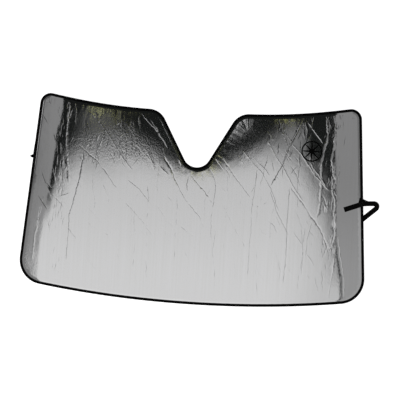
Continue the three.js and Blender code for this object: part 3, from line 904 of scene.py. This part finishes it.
def spun_thread(name, colours):
    """Twisted polyester thread: a soft sheen and a fine grain."""
    material, tree = new_material(name)
    place = add(tree, PLACE).outputs["Object"]
    twist = add(tree, NOISE, Vector=place, Scale=1 / THREAD_GRAIN, Detail=1.0).outputs["Fac"]
    low, high = map(linear, colours)
    colour = add(tree, MIX, COLOURS, _0=twist, _6=low, _7=high).outputs[2]
    thread = add(tree, SURFACE, Base_Color=colour, Roughness=0.55)
    add(tree, OUTPUT, Surface=thread.outputs["BSDF"])
    return material


seam_stitches = stitch_tree(spun_thread("black_polyester_thread", THREAD_COLOURS))
print("one stitch every", STITCH_PITCH / MM, "mm")


def sewn(name, seams):
    """Stitches along each seam, a list of lines of points, as one plain mesh object."""
    vertices = np.concatenate(seams)
    edges = []
    first = 0
    for seam in seams:
        edges += [(first + i, first + i + 1) for i in range(len(seam) - 1)]
        first += len(seam)
    mesh = bpy.data.meshes.new(name)
    mesh.from_pydata(vertices.tolist(), edges, [])
    guide = bpy.data.objects.new(name + "_guide", mesh)
    bpy.context.scene.collection.objects.link(guide)
    modifier = guide.modifiers.new("stitches", "NODES")
    modifier.node_group = seam_stitches
    sizes = {"Pitch": STITCH_PITCH, "Stitch length": STITCH_LENGTH, "Thread": THREAD}
    for item in seam_stitches.interface.items_tree:
        if item.in_out == "INPUT" and item.name in sizes:
            modifier[item.identifier] = sizes[item.name]
    bpy.context.view_layer.update()
    shown = guide.evaluated_get(bpy.context.evaluated_depsgraph_get())
    plain = bpy.data.meshes.new_from_object(shown)
    plain.name = name
    bpy.data.objects.remove(guide)
    obj = bpy.data.objects.new(name, plain)
    bpy.context.scene.collection.objects.link(obj)
    print(name, len(plain.polygons), "faces")
    return obj


# %% Stitches through the tape
SEAM_FROM_HEM = 0.0022
seam_inset = TAPE_WIDTH - SEAM_FROM_HEM
seam_lines = []
for side in (1, -1):
    points = rim[order] + inward[order] * seam_inset
    edge_height = SHEET_THICKNESS + lift if side > 0 else -lift
    heights = lie(points) + edge_height + side * THREAD_RISE
    seam_lines.append(np.column_stack([points, heights]))
binding_stitches = sewn("binding_stitches", seam_lines)

# %% [markdown]
# ## Elastic strap
#
# The strap is knitted elastic: rubber cords run along it, and it shows as fine ribs. Its path
# repeats the solid's: a tail that lies on the face, a leg past the edge, a turn that drops to the
# floor and an end that lies hidden below the sheet. Two rails carry its edges from station to
# station, and a ribbed section is hung between them.

# %% Strap path
STRAP_WIDTH = 0.020
STRAP_THICKNESS = 0.0012
STRAP_ROOT_RISE = 0.038
STRAP_TAIL = 0.080
STRAP_TAIL_ANGLE = 21.0
STRAP_OUT = 0.043
STRAP_OUT_ANGLE = 3.6
STRAP_TURN_RADIUS = 0.0016
STRAP_BACK = 0.150
STRAP_BACK_ANGLE = -138.0
STRAP_EAR = 0.018
STRAP_TURN_STEPS = 10
HOOK_LENGTH = 0.045
HOOK_THICKNESS = 0.001


def heading(degrees):
    return np.array([math.cos(math.radians(degrees)), math.sin(math.radians(degrees))])


def left_of(direction):
    return np.array([-direction[1], direction[0]])


def on_face(point):
    return lie(point[None])[0] + SHEET_THICKNESS + CLEARANCE


strap_half = STRAP_WIDTH / 2
strap_root = np.array([side_at(STRAP_ROOT_RISE), STRAP_ROOT_RISE])
tail_way = heading(STRAP_TAIL_ANGLE)
out_way = heading(STRAP_OUT_ANGLE)
tail_end = strap_root - tail_way * STRAP_TAIL
turn_radius = STRAP_TURN_RADIUS + strap_half
turn_centre = strap_root + out_way * STRAP_OUT - left_of(out_way) * turn_radius
out_height = on_face(strap_root)
over_hook = HOOK_THICKNESS + CLEARANCE


def rail_pair(centre, degrees, height_at, loose=0.0):
    """The strap's left and right edge at a station."""
    across = left_of(heading(degrees))
    left, right = centre + across * (strap_half + loose), centre - across * strap_half
    return np.array([[*left, height_at(left)], [*right, height_at(right)]])


strap_stations = [
    rail_pair(tail_end, STRAP_TAIL_ANGLE, lambda p: on_face(p) + over_hook),
    rail_pair(tail_end + tail_way * HOOK_LENGTH, STRAP_TAIL_ANGLE, lambda p: on_face(p) + over_hook),
    rail_pair(tail_end + tail_way * (HOOK_LENGTH + STRAP_EAR), STRAP_TAIL_ANGLE, on_face),
    rail_pair(tail_end + tail_way * (STRAP_TAIL - TAPE_WIDTH / 2), STRAP_TAIL_ANGLE, on_face, STRAP_EAR),
    rail_pair(strap_root + out_way * STRAP_EAR, STRAP_OUT_ANGLE, lambda p: out_height),
]
for step in range(STRAP_TURN_STEPS + 1):
    share = step / STRAP_TURN_STEPS
    degrees = STRAP_OUT_ANGLE + (STRAP_BACK_ANGLE - STRAP_OUT_ANGLE) * share
    centre = turn_centre + left_of(heading(degrees)) * turn_radius
    height = float(out_height * (1 - smooth(share, 0, 1)))
    strap_stations.append(rail_pair(centre, degrees, lambda p, z=height: z))
back_way = heading(STRAP_BACK_ANGLE)
strap_end = turn_centre + left_of(back_way) * turn_radius + back_way * STRAP_BACK
strap_stations.append(rail_pair(strap_end, STRAP_BACK_ANGLE, lambda p: 0.0))
strap_stations = np.array(strap_stations)
print("strap stations:", len(strap_stations))

# %% Strap
STRAP_STEP = 0.0016
STRAP_RIBS = 13
RIB_HEIGHT = 0.00013
POINTS_PER_RIB = 4
STRAP_ROUNDING = 0.0003
STRAP_ROUNDING_REACH = 0.0005
STRAP_SOFTENING = (1, 2, 3, 2, 1)
UNDER_FACE_FROM = 1.05
# Hollow and top of a rib: the darker one is painted shade on the black elastic.
ELASTIC_COLOURS = ("#030303", "#0E0E0D")
ELASTIC_THREADS = (0.0008, STRAP_WIDTH / STRAP_RIBS)


def between_stations(stations, step):
    """Rails through the stations, with points about a step apart and the bends softened."""
    along = distances(stations.mean(axis=1))
    places = np.linspace(0, along[-1], round(along[-1] / step) + 1)
    flat_rails = stations.reshape(len(stations), -1)
    dense = np.stack([np.interp(places, along, column) for column in flat_rails.T], axis=1)
    kernel = np.array(STRAP_SOFTENING) / sum(STRAP_SOFTENING)
    padded = np.concatenate([dense[:1]] * 2 + [dense] + [dense[-1:]] * 2)
    soft = np.stack([np.convolve(column, kernel, mode="valid") for column in padded.T], axis=1)
    soft[0], soft[-1] = dense[0], dense[-1]
    return soft.reshape(-1, 2, 3), along[-1]


strap_rails, strap_length = between_stations(strap_stations, STRAP_STEP)
rib_points = STRAP_RIBS * POINTS_PER_RIB + 1
share = np.linspace(0, 1, rib_points)
rib = RIB_HEIGHT * np.abs(np.sin(share * STRAP_RIBS * math.pi))
edge_round = np.minimum(share, share[::-1]) * STRAP_WIDTH
rounding = STRAP_ROUNDING * (1 - np.clip(edge_round / STRAP_ROUNDING_REACH, 0, 1))
strap_rings = []
for left, right in strap_rails:
    across = left + (right - left) * share[:, None]
    upper = across + UP * (STRAP_THICKNESS - RIB_HEIGHT + rib - rounding)[:, None]
    lower = (across + UP * (RIB_HEIGHT - rib + rounding)[:, None])[::-1]
    strap_rings.append(np.concatenate([upper, lower])[::-1])
around = np.concatenate([share, share + UNDER_FACE_FROM]) * STRAP_WIDTH
elastic_cloth = weave("knitted_elastic", ELASTIC_COLOURS, ELASTIC_THREADS, WEAVE_DEPTH, roughness=0.85)
strap = sweep("elastic_strap_knit", strap_rings, around, elastic_cloth)

# %% Stitches that hold the strap
BOX_FROM, BOX_TO = 0.002, 0.018
BOX_INSET = 0.003
BOX_STEP = 0.001


def on_strap(along, aside):
    """A point on top of the tail, by distances from the root and from the middle line."""
    spot = strap_root - tail_way * along + left_of(tail_way) * aside
    return np.array([*spot, on_face(spot) + STRAP_THICKNESS + THREAD_RISE])


box_reach = strap_half - BOX_INSET
box = [(BOX_FROM, -box_reach), (BOX_FROM, box_reach), (BOX_TO, box_reach), (BOX_TO, -box_reach)]
box_lines = []
for corners in ((*box, box[0], box[2]), (box[1], box[3])):
    box_lines.append(evenly(np.array([on_strap(*corner) for corner in corners]), BOX_STEP))
strap_stitches = sewn("strap_stitches", box_lines)

# %% [markdown]
# ## Printed sunburst
#
# The mark is a pointed sun in black ink whose tips run into a ring. It is laid out flat as a fine
# mesh, and each of its points is then dropped onto the creased film, so the print follows every
# wrinkle. The bare places between the rays are closed outlines, and a triangulation that keeps
# to given lines fills what lies around them.

# %% Printed sunburst
MARK_INSET = 0.203
MARK_DROP = 0.186
MARK_RADIUS = 0.042
MARK_RING_WIDTH = 0.0055
MARK_VALLEY_RADIUS = 0.010
MARK_TIP_WIDTH = 0.003
MARK_RAYS = 8
MARK_STEP = 0.0016
MARK_MERGE_DISTANCE = 1e-6
DROP_FROM = 1.0
INK_THICKNESS = 0.00012
# Dips and tops of the pebbles under the ink: the darker one is partly painted shade.
INK_COLOURS = ("#030303", "#080808")
INK_SHINE = 0.04

mark_y = TOP_CORNER_RISE - MARK_DROP
mark_centre = np.array([side_at(mark_y) - MARK_INSET, mark_y])
ring_inside = MARK_RADIUS - MARK_RING_WIDTH
half_share = 180 / MARK_RAYS
tip_turn = math.degrees(math.asin(MARK_TIP_WIDTH / 2 / ring_inside))
valley = heading(half_share) * MARK_VALLEY_RADIUS
tip = heading(tip_turn) * ring_inside


def arc(radius, start, end):
    """Points along an arc between two angles, about one mark step apart."""
    count = round(math.radians(end - start) * radius / MARK_STEP)
    return np.array([heading(start + (end - start) * i / count) for i in range(count + 1)]) * radius


def gap_outline(number):
    """The bare place between two rays, from where they meet out to the ring."""
    middle = half_share * (2 * number + 1)
    reach = half_share - tip_turn
    curve = arc(ring_inside, middle - reach, middle + reach)
    meeting = heading(middle) * MARK_VALLEY_RADIUS
    count = round(np.linalg.norm(curve[0] - meeting) / MARK_STEP)
    flank = np.arange(count).reshape(-1, 1) / count
    there = meeting + (curve[0] - meeting) * flank
    back = curve[-1] + (meeting - curve[-1]) * flank
    return np.concatenate([there, curve[:-1], back])


def inked(point):
    """Whether a point of the mark's plane lies in the ring, or in the sun inside it."""
    radius = np.linalg.norm(point)
    if radius > ring_inside:
        return radius < MARK_RADIUS
    turn = math.degrees(math.atan2(point[1], point[0]))
    along, beside = heading((turn + half_share) % (2 * half_share) - half_share) * radius
    return abs(beside) < np.interp(along, (valley[0], tip[0]), (valley[1], tip[1]))


loops = [arc(MARK_RADIUS, 0, 360)[:-1]] + [gap_outline(number) for number in range(MARK_RAYS)]
loop_edges = []
taken = 0
for loop in loops:
    loop_edges += [(taken + i, taken + (i + 1) % len(loop)) for i in range(len(loop))]
    taken += len(loop)
ticks = np.arange(-MARK_RADIUS, MARK_RADIUS, MARK_STEP)
fill = np.stack(np.meshgrid(ticks, ticks), axis=-1).reshape(-1, 2)
fill = clear_of(fill[[inked(point) for point in fill]], np.concatenate(loops), MARK_STEP / 2)
mark_corners = [Vector(point) for point in np.concatenate([*loops, fill])]
mark_flat, _, mark_faces, _, _, _ = delaunay_2d_cdt(mark_corners, loop_edges, [], 0, MARK_MERGE_DISTANCE)
mark_flat = np.array(mark_flat)
mark_faces = [face for face in mark_faces if inked(mark_flat[list(face)].mean(axis=0))]
print(f"the mark has {len(mark_faces)} flat faces")


def drop_to_face(points, above):
    """Points set down on the creased face, a little above it."""
    dropped = []
    for x, y in points:
        hit = face_tree.ray_cast(Vector((x, y, DROP_FROM)), Vector((0, 0, -1)))[0]
        dropped.append((x, y, hit.z + above))
    return np.array(dropped)


mark_count = len(mark_flat)
ink_top = drop_to_face(mark_flat + mark_centre, INK_THICKNESS)
ink_low = drop_to_face(mark_flat + mark_centre, INK_THICKNESS / 3)
sides = {(a, b) for face in mark_faces for a, b in zip(face, (*face[1:], face[0]))}
ink_walls = [[a, a + mark_count, b + mark_count, b] for a, b in sides if (b, a) not in sides]
ink_faces = [list(f) for f in mark_faces] + [[i + mark_count for i in reversed(f)] for f in mark_faces]
sunburst = new_object("printed_sunburst", np.concatenate([ink_top, ink_low]), ink_faces + ink_walls)


def screen_ink():
    """Screen-printed ink: black, satin, with the film's pebbles showing through it, their dips
    painted a little darker as shade.
    """
    material, tree = new_material("screen_printed_ink")
    place = add(tree, PLACE).outputs["Object"]
    pebbles = add(tree, NOISE, Vector=place, Scale=1 / PEBBLE, Detail=2.0).outputs["Fac"]
    low, high = map(linear, INK_COLOURS)
    # The pebbles' height also sets the ink's tone: partly random tone, partly painted shade in the dips.
    colour = add(tree, MIX, COLOURS, _0=pebbles, _6=low, _7=high).outputs[2]
    relief = add(tree, BUMP, Height=pebbles, Distance=PEBBLE_DEPTH / 2).outputs[0]
    ink = add(tree, SURFACE, Base_Color=colour, Roughness=0.5, Normal=relief)
    ink.inputs["Specular IOR Level"].default_value = INK_SHINE
    add(tree, OUTPUT, Surface=ink.outputs["BSDF"])
    return material


sunburst.data.materials.append(screen_ink())

# %% [markdown]
# ## Hook and loop
#
# The two patches are nylon tape, and mostly hidden: the hook patch below the tail's end, and the
# loop patch below the sheet. The solids already have the right shape, so they only get a finish.

# %% Hook and loop patches
HOOK_PITCH = 0.0015
HOOK_DEPTH = 0.0004
# A stud's top and the gap around it: the darker gap is painted shade.
HOOK_COLOURS = ("#242424", "#0A0A0A")
LOOP_SIZE = 0.0009
LOOP_DEPTH = 0.0005
# Low pile and high pile: partly random tone, partly painted shade in the low places.
LOOP_COLOURS = ("#0C0C0C", "#2A2A2A")


def nylon_hooks():
    """Rows of moulded nylon hooks, seen as small round studs, with painted shade: lighter on each
    stud and darker between them.
    """
    material, tree = new_material("nylon_hooks")
    place = add(tree, PLACE).outputs["Object"]
    studs = add(tree, "ShaderNodeTexVoronoi", Vector=place, Scale=1 / HOOK_PITCH, Randomness=0.2)
    away = studs.outputs["Distance"]
    low, high = map(linear, HOOK_COLOURS)
    # Painted shade: the colour darkens away from each stud's middle, where the relief falls.
    colour = add(tree, MIX, COLOURS, _0=away, _6=low, _7=high).outputs[2]
    relief = add(tree, BUMP, {"invert": True}, Height=away, Distance=HOOK_DEPTH).outputs[0]
    hooks = add(tree, SURFACE, Base_Color=colour, Roughness=0.5, Normal=relief)
    add(tree, OUTPUT, Surface=hooks.outputs["BSDF"])
    return material


def nylon_loops():
    """Brushed nylon pile: a soft fuzz with no direction. Its tone differs at random, and is painted
    lighter where the pile stands high and darker where it is low, as shade.
    """
    material, tree = new_material("nylon_loops")
    place = add(tree, PLACE).outputs["Object"]
    pile = add(tree, NOISE, Vector=place, Scale=1 / LOOP_SIZE, Detail=4.0, Distortion=1.0).outputs["Fac"]
    low, high = map(linear, LOOP_COLOURS)
    # The same noise raises the pile and lightens it: partly random tone, partly painted shade.
    colour = add(tree, MIX, COLOURS, _0=pile, _6=low, _7=high).outputs[2]
    relief = add(tree, BUMP, Height=pile, Distance=LOOP_DEPTH).outputs[0]
    loops = add(tree, SURFACE, Base_Color=colour, Roughness=0.95, Normal=relief)
    loops.inputs["Sheen Weight"].default_value = 0.3
    add(tree, OUTPUT, Surface=loops.outputs["BSDF"])
    return material


for node, material in (("hook_patch", nylon_hooks()), ("loop_patch", nylon_loops())):
    for material_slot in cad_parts[node].material_slots:
        material_slot.material = material
    print(node, "is made of", material.name)

# %% [markdown]
# ## What rides on what
#
# The shade has no joints, so every piece rides on the one body. The detailed pieces stand for
# their solids, which are hidden.

# %% Riding and replacing
for piece in (foil_sheet, binding_tape, binding_stitches, strap, strap_stitches, sunburst):
    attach(piece, "root")
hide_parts("foil_foam_sheet")
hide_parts("edge_binding_tape")
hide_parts("elastic_strap")
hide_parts("sunburst_mark")

# %% [markdown]
# ## Floor and light
#
# The floor and the world are plain white, to the camera and in reflections. To every other ray
# they are dimmer, so that they don't wash the black tape out.

# %% World and floor
WORLD_LIGHT = (0.6, 1.0)
FLOOR_GREY = 0.8
FLOOR_GLOW = 0.85
FLOOR_HALF = 12.0
WHITE = grey(1.0)


def seen(tree):
    """1 for rays from the camera and rays that a mirror or a clear thing sends on, 0 for the rest."""
    rays = add(tree, "ShaderNodeLightPath").outputs
    shown = add(tree, MATH, LARGER, _0=rays["Is Camera Ray"], _1=rays["Is Glossy Ray"]).outputs[0]
    return add(tree, MATH, LARGER, _0=shown, _1=rays["Is Transmission Ray"]).outputs[0]


def white_world():
    world = bpy.data.worlds.new("white_studio")
    world.use_nodes = True
    tree = world.node_tree
    tree.nodes.clear()
    strength = add(tree, RAMP, Value=seen(tree), **span(0.0, 1.0, *WORLD_LIGHT)).outputs[0]
    light = add(tree, "ShaderNodeBackground", Color=WHITE, Strength=strength)
    add(tree, "ShaderNodeOutputWorld", Surface=light.outputs["Background"])
    bpy.context.scene.world = world


def white_floor():
    material, tree = new_material("white_floor")
    glow = add(tree, MATH, PRODUCT, _0=seen(tree), _1=FLOOR_GLOW).outputs[0]
    paint = add(tree, "ShaderNodeBsdfDiffuse", Color=grey(FLOOR_GREY))
    shine = add(tree, "ShaderNodeEmission", Color=WHITE, Strength=glow)
    both = add(tree, "ShaderNodeAddShader", _0=paint.outputs[0], _1=shine.outputs[0])
    add(tree, OUTPUT, Surface=both.outputs[0])
    return material


def plane(name, half, z, material, facing_down=False):
    """A square that only dresses the stage."""
    corners = [(-half, -half, z), (half, -half, z), (half, half, z), (-half, half, z)]
    face = (3, 2, 1, 0) if facing_down else (0, 1, 2, 3)
    obj = new_object(name, corners, [face], smooth_faces=False)
    obj.data.materials.append(material)
    return obj


white_world()
plane("floor", FLOOR_HALF, 0.0, white_floor())
print("floor:", 2 * FLOOR_HALF, "m across")

# %% [markdown]
# A mirror-like film shows the room. Here the room is one card under the ceiling, which lights the
# scene and is seen by reflection only, never by the camera. A large soft lamp hangs over the lower
# part of the sheet and before it. Over the upper part a screen keeps the card dark, with faint
# green spots, and its sides are grey walls. It is painted in metres: sideways from its middle, and
# ahead towards the sheet's top edge.
#
# Most values below are ramps. The first two numbers of a ramp say where it starts and where it
# ends, and two more, unless they are 0 and 1, say what it is worth there. A line has its slope
# and its height.

# %% Shape of the lamp
CARD_HEIGHT = 3.30
CARD_HALF = 7.0
MIDDLE = -0.20
LAMP_AT = (0.0, -0.80)
LAMP_REACH = (1.28, 1.38)
LAMP_SHAPE = 3.0
INNER_LEFT = (-0.6, -1.0, 0.66, 0.86)
INNER_RIGHT = (0.15, 0.45, 0.66, 0.75)
OUTER_LEFT = (-0.8, -1.0, 1.08, 1.055)
OUTER_RIGHT = (0.05, -0.65, 1.02, 1.34)
OUTER_SIDE = (0.68, 0.84)
FRONT_START = (0.8, 1.1, -0.70, -0.45)
FRONT_DEPTH = 0.2
LEFT_NEAR_LINE = (0.22, 0.40)
LEFT_FAR_LINE = (0.63, 0.915)
LEFT_DEPTH = (-0.10, 0.30)
LEFT_SIDE = (-0.9, -1.1)
SCREEN_AT = (0.0, 0.85)
SCREEN_REACH = (0.62, 0.63)
SCREEN_SHAPE = 1.3
SCREEN_EDGE = (1.12, 0.88)
RIGHT_END = (0.04, -0.02)
RIGHT_FALL = (0.45, 1.20, 1.0, 0.80)
SPOT_EDGE = (1.4, 0.5)
SPOTS = (
    # centre, reach, share of the lamp's light
    ((0.62, 0.48), (0.14, 0.16), 0.36),
    ((-0.72, 0.56), (0.20, 0.14), 0.12),
    ((0.13, 0.70), (0.08, 0.15), 1.0),
)
print("lamp:", 2 * LAMP_REACH[0], "by", 2 * LAMP_REACH[1], "m,", CARD_HEIGHT, "m up")

# %% Paint of the card
LAMP_LIGHT = (0.3, -0.8, 0.56, 0.67)
FRONT_EDGE = (-1.2, -1.7)
FRONT_LIGHT = 0.74
DARK_COLOUR = "#171918"
GREEN_COLOUR = "#BFC080"
GREEN_GAP = 0.075
GREEN_GAP_EDGE = (0.54, 0.57)
GREEN_EDGE = (1.2, 0.8)
GREENS = (
    # centre, reach, share
    ((-0.57, 0.72), (0.20, 0.15), 1.0),
    ((0.58, 0.73), (0.10, 0.08), 0.6),
    ((0.01, 0.22), (0.06, 0.07), 1.0),
)
WALL_RIGHT = (-0.25, -0.70, 1.13, 1.49)
WALL_LIGHT = (0.3, -0.6, 0.235, 0.31)
WALL_EDGE = (-0.05, 0.05)
DARK_GAP = (-0.10, -0.50, 0.06, 0.16)
STRIP_AT = (0.85, -0.10, -1.30, -1.78)
STRIP_BEND = (-0.10, -0.60, 0.0, 0.125)
STRIP_EDGE = (0.033, -0.033)
BEYONDS = (
    # where it starts and ends sideways, light in its far and its near part
    (-1.84, -2.12, 0.08, 0.20),
    (2.00, 2.20, 0.15, 0.34),
)
BEYOND_DEPTH = (0.3, 0.0)
GLOW_SIDE = (3.80, 3.90)
GLOW_DEPTH = (0.35, 0.55)
GLOW_LIGHT = 0.75
FAR_DEPTH = (2.2, 3.4)
FAR_SIDE = (4.6, 5.4)
FAR_LIGHT = 0.45


def oval(tree, axes, centre, reach, power=2.0):
    """Distance from a centre as a share of an oval's reach; a high power squares the oval."""
    parts = []
    for value, middle, size in zip(axes, centre, reach):
        offset = add(tree, MATH, DIFFERENCE, _0=value, _1=middle).outputs[0]
        offset = add(tree, MATH, SIZE_OF, _0=offset).outputs[0]
        share = add(tree, MATH, {"operation": "DIVIDE"}, _0=offset, _1=size).outputs[0]
        parts.append(add(tree, MATH, POWER, _0=share, _1=power).outputs[0])
    both = add(tree, MATH, SUM, _0=parts[0], _1=parts[1]).outputs[0]
    return add(tree, MATH, POWER, _0=both, _1=1 / power).outputs[0]


def lit_part(tree, sideways, ahead, wall):
    """Where the lamp shines: 1 in its light, 0 in the dark."""
    axes = (sideways, ahead)
    ramps = {}
    for name, value, ends in (
        ("inner left", sideways, INNER_LEFT),
        ("inner right", sideways, INNER_RIGHT),
        ("outer left", sideways, OUTER_LEFT),
        ("outer right", ahead, OUTER_RIGHT),
        ("front", sideways, FRONT_START),
        ("left side", sideways, LEFT_SIDE),
        ("right fall", sideways, RIGHT_FALL),
    ):
        ramps[name] = add(tree, RAMP, SOFT, Value=value, **span(*ends)).outputs[0]
    inner = add(tree, MATH, LARGER, _0=ramps["inner left"], _1=ramps["inner right"]).outputs[0]
    sides = span(*OUTER_SIDE, ramps["outer left"], ramps["outer right"])
    outer = add(tree, RAMP, SOFT, Value=sideways, **sides).outputs[0]
    lamp = oval(tree, axes, LAMP_AT, LAMP_REACH, LAMP_SHAPE)
    in_lamp = add(tree, RAMP, SOFT, Value=lamp, **span(outer, inner)).outputs[0]
    front_end = add(tree, MATH, DIFFERENCE, _0=ramps["front"], _1=FRONT_DEPTH).outputs[0]
    in_front = add(tree, RAMP, SOFT, Value=ahead, **span(ramps["front"], front_end)).outputs[0]
    lines = []
    for slope, height in (LEFT_NEAR_LINE, LEFT_FAR_LINE):
        line = add(tree, MATH, {"operation": "MULTIPLY_ADD"}, _0=sideways, _1=slope, _2=height)
        lines.append(line.outputs[0])
    lines[1] = add(tree, MATH, LARGER, _0=lines[1], _1=0.0).outputs[0]
    left_end = add(tree, MATH, {"operation": "MINIMUM"}, _0=lines[0], _1=lines[1]).outputs[0]
    left_depth = add(tree, MATH, DIFFERENCE, _0=left_end, _1=ahead).outputs[0]
    in_left = add(tree, RAMP, SOFT, Value=left_depth, **span(*LEFT_DEPTH)).outputs[0]
    in_left = add(tree, MATH, PRODUCT, _0=in_left, _1=ramps["left side"]).outputs[0]
    lit = add(tree, MATH, LARGER, _0=in_lamp, _1=in_front).outputs[0]
    lit = add(tree, MATH, LARGER, _0=lit, _1=in_left).outputs[0]
    screen = oval(tree, axes, SCREEN_AT, SCREEN_REACH, SCREEN_SHAPE)
    in_screen = add(tree, RAMP, SOFT, Value=screen, **span(*SCREEN_EDGE)).outputs[0]
    past_screen = add(tree, MATH, DIFFERENCE, _0=1.0, _1=in_screen).outputs[0]
    from_wall = add(tree, MATH, DIFFERENCE, _0=sideways, _1=wall).outputs[0]
    before_wall = add(tree, RAMP, SOFT, Value=from_wall, **span(*RIGHT_END)).outputs[0]
    for share in (past_screen, before_wall, ramps["right fall"]):
        lit = add(tree, MATH, PRODUCT, _0=lit, _1=share).outputs[0]
    for centre, reach, share in SPOTS:
        spot = oval(tree, axes, centre, reach)
        spot = add(tree, RAMP, SOFT, Value=spot, **span(*SPOT_EDGE, 0.0, share)).outputs[0]
        lit = add(tree, MATH, LARGER, _0=lit, _1=spot).outputs[0]
    return lit


def green_part(tree, sideways, ahead):
    """Where the dark part is green: streaks within a few ovals."""
    gaps = add(tree, NOISE, {"noise_dimensions": "1D"}, W=sideways, Scale=1 / GREEN_GAP, Detail=1.0)
    streaks = add(tree, RAMP, SOFT, Value=gaps.outputs["Fac"], **span(*GREEN_GAP_EDGE)).outputs[0]
    green = 0.0
    for centre, reach, share in GREENS:
        spot = oval(tree, (sideways, ahead), centre, reach)
        spot = add(tree, RAMP, SOFT, Value=spot, **span(*GREEN_EDGE, 0.0, share)).outputs[0]
        green = add(tree, MATH, LARGER, _0=green, _1=spot).outputs[0]
    return add(tree, MATH, PRODUCT, _0=green, _1=streaks).outputs[0]


def wall_part(tree, sideways, ahead, wall):
    """Where the two grey side walls stand."""
    strip = add(tree, RAMP, Value=ahead, **span(*STRIP_AT)).outputs[0]
    bend = add(tree, RAMP, SOFT, Value=ahead, **span(*STRIP_BEND)).outputs[0]
    strip = add(tree, MATH, DIFFERENCE, _0=strip, _1=bend).outputs[0]
    gap = add(tree, RAMP, SOFT, Value=ahead, **span(*DARK_GAP)).outputs[0]
    wall = add(tree, MATH, SUM, _0=wall, _1=gap).outputs[0]
    past = []
    for line, edge in ((strip, STRIP_EDGE), (wall, WALL_EDGE)):
        over = add(tree, MATH, DIFFERENCE, _0=sideways, _1=line).outputs[0]
        past.append(add(tree, RAMP, SOFT, Value=over, **span(*edge)).outputs[0])
    return add(tree, MATH, LARGER, _0=past[0], _1=past[1]).outputs[0]


def studio_card():
    """What the film mirrors: a soft lamp, the dark part behind it and grey walls at its sides."""
    material, tree = new_material("studio_card")
    place = add(tree, PLACE).outputs["Object"]
    axes = add(tree, "ShaderNodeSeparateXYZ", Vector=place).outputs
    ahead = axes["Y"]
    sideways = add(tree, MATH, DIFFERENCE, _0=axes["X"], _1=MIDDLE).outputs[0]
    from_middle = add(tree, MATH, SIZE_OF, _0=sideways).outputs[0]
    wall = add(tree, RAMP, SOFT, Value=ahead, **span(*WALL_RIGHT)).outputs[0]

    fades = []
    for low, high, start, end in (LAMP_LIGHT, WALL_LIGHT, *(BEYOND_DEPTH + b[2:] for b in BEYONDS)):
        share = add(tree, RAMP, SOFT, Value=ahead, **span(low, high)).outputs[0]
        fades.append(add(tree, MIX, COLOURS, _0=share, _6=grey(start), _7=grey(end)).outputs[2])
    shares = []
    for value, ends in (
        (ahead, FRONT_EDGE),
        *((sideways, beyond[:2]) for beyond in BEYONDS),
        (from_middle, GLOW_SIDE),
        (ahead, GLOW_DEPTH),
        (ahead, FAR_DEPTH),
        (from_middle, FAR_SIDE),
    ):
        shares.append(add(tree, RAMP, SOFT, Value=value, **span(*ends)).outputs[0])
    front, left_beyond, right_beyond, glow_side, glow_depth, far_depth, far_side = shares
    glow = add(tree, MATH, PRODUCT, _0=glow_side, _1=glow_depth).outputs[0]
    outside = add(tree, MATH, LARGER, _0=far_depth, _1=far_side).outputs[0]

    green = green_part(tree, sideways, ahead)
    low, high = linear(DARK_COLOUR), linear(GREEN_COLOUR)
    base = add(tree, MIX, COLOURS, _0=green, _6=low, _7=high).outputs[2]
    lamp = add(tree, MIX, COLOURS, _0=front, _6=fades[0], _7=grey(FRONT_LIGHT)).outputs[2]
    for share, coat in (
        (lit_part(tree, sideways, ahead, wall), lamp),
        (wall_part(tree, sideways, ahead, wall), fades[1]),
        (left_beyond, fades[2]),
        (right_beyond, fades[3]),
        (glow, grey(GLOW_LIGHT)),
        (outside, grey(FAR_LIGHT)),
    ):
        base = add(tree, MIX, COLOURS, _0=share, _6=base, _7=coat).outputs[2]
    shine = add(tree, "ShaderNodeEmission", Color=base, Strength=1.0)
    add(tree, OUTPUT, Surface=shine.outputs[0])
    print("studio card:", len(tree.nodes), "nodes")
    return material


card = plane("studio_card", CARD_HALF, CARD_HEIGHT, studio_card(), facing_down=True)
card.visible_camera = False

# %% Key light
KEY_AT = Vector((-1.6, -1.2, 2.4))
KEY_SIZE = 1.5
KEY_POWER = 30

key_data = bpy.data.lights.new("key", "AREA")
key_data.size = KEY_SIZE
key_data.energy = KEY_POWER
key = bpy.data.objects.new("key", key_data)
key.matrix_world = Matrix.LocRotScale(KEY_AT, KEY_AT.to_track_quat("Z", "Y"), None)
key.visible_glossy = False
bpy.context.scene.collection.objects.link(key)
bpy.context.scene.view_settings.view_transform = "Standard"
print("key light:", KEY_POWER, "W,", round(KEY_AT.length, 2), "m away")
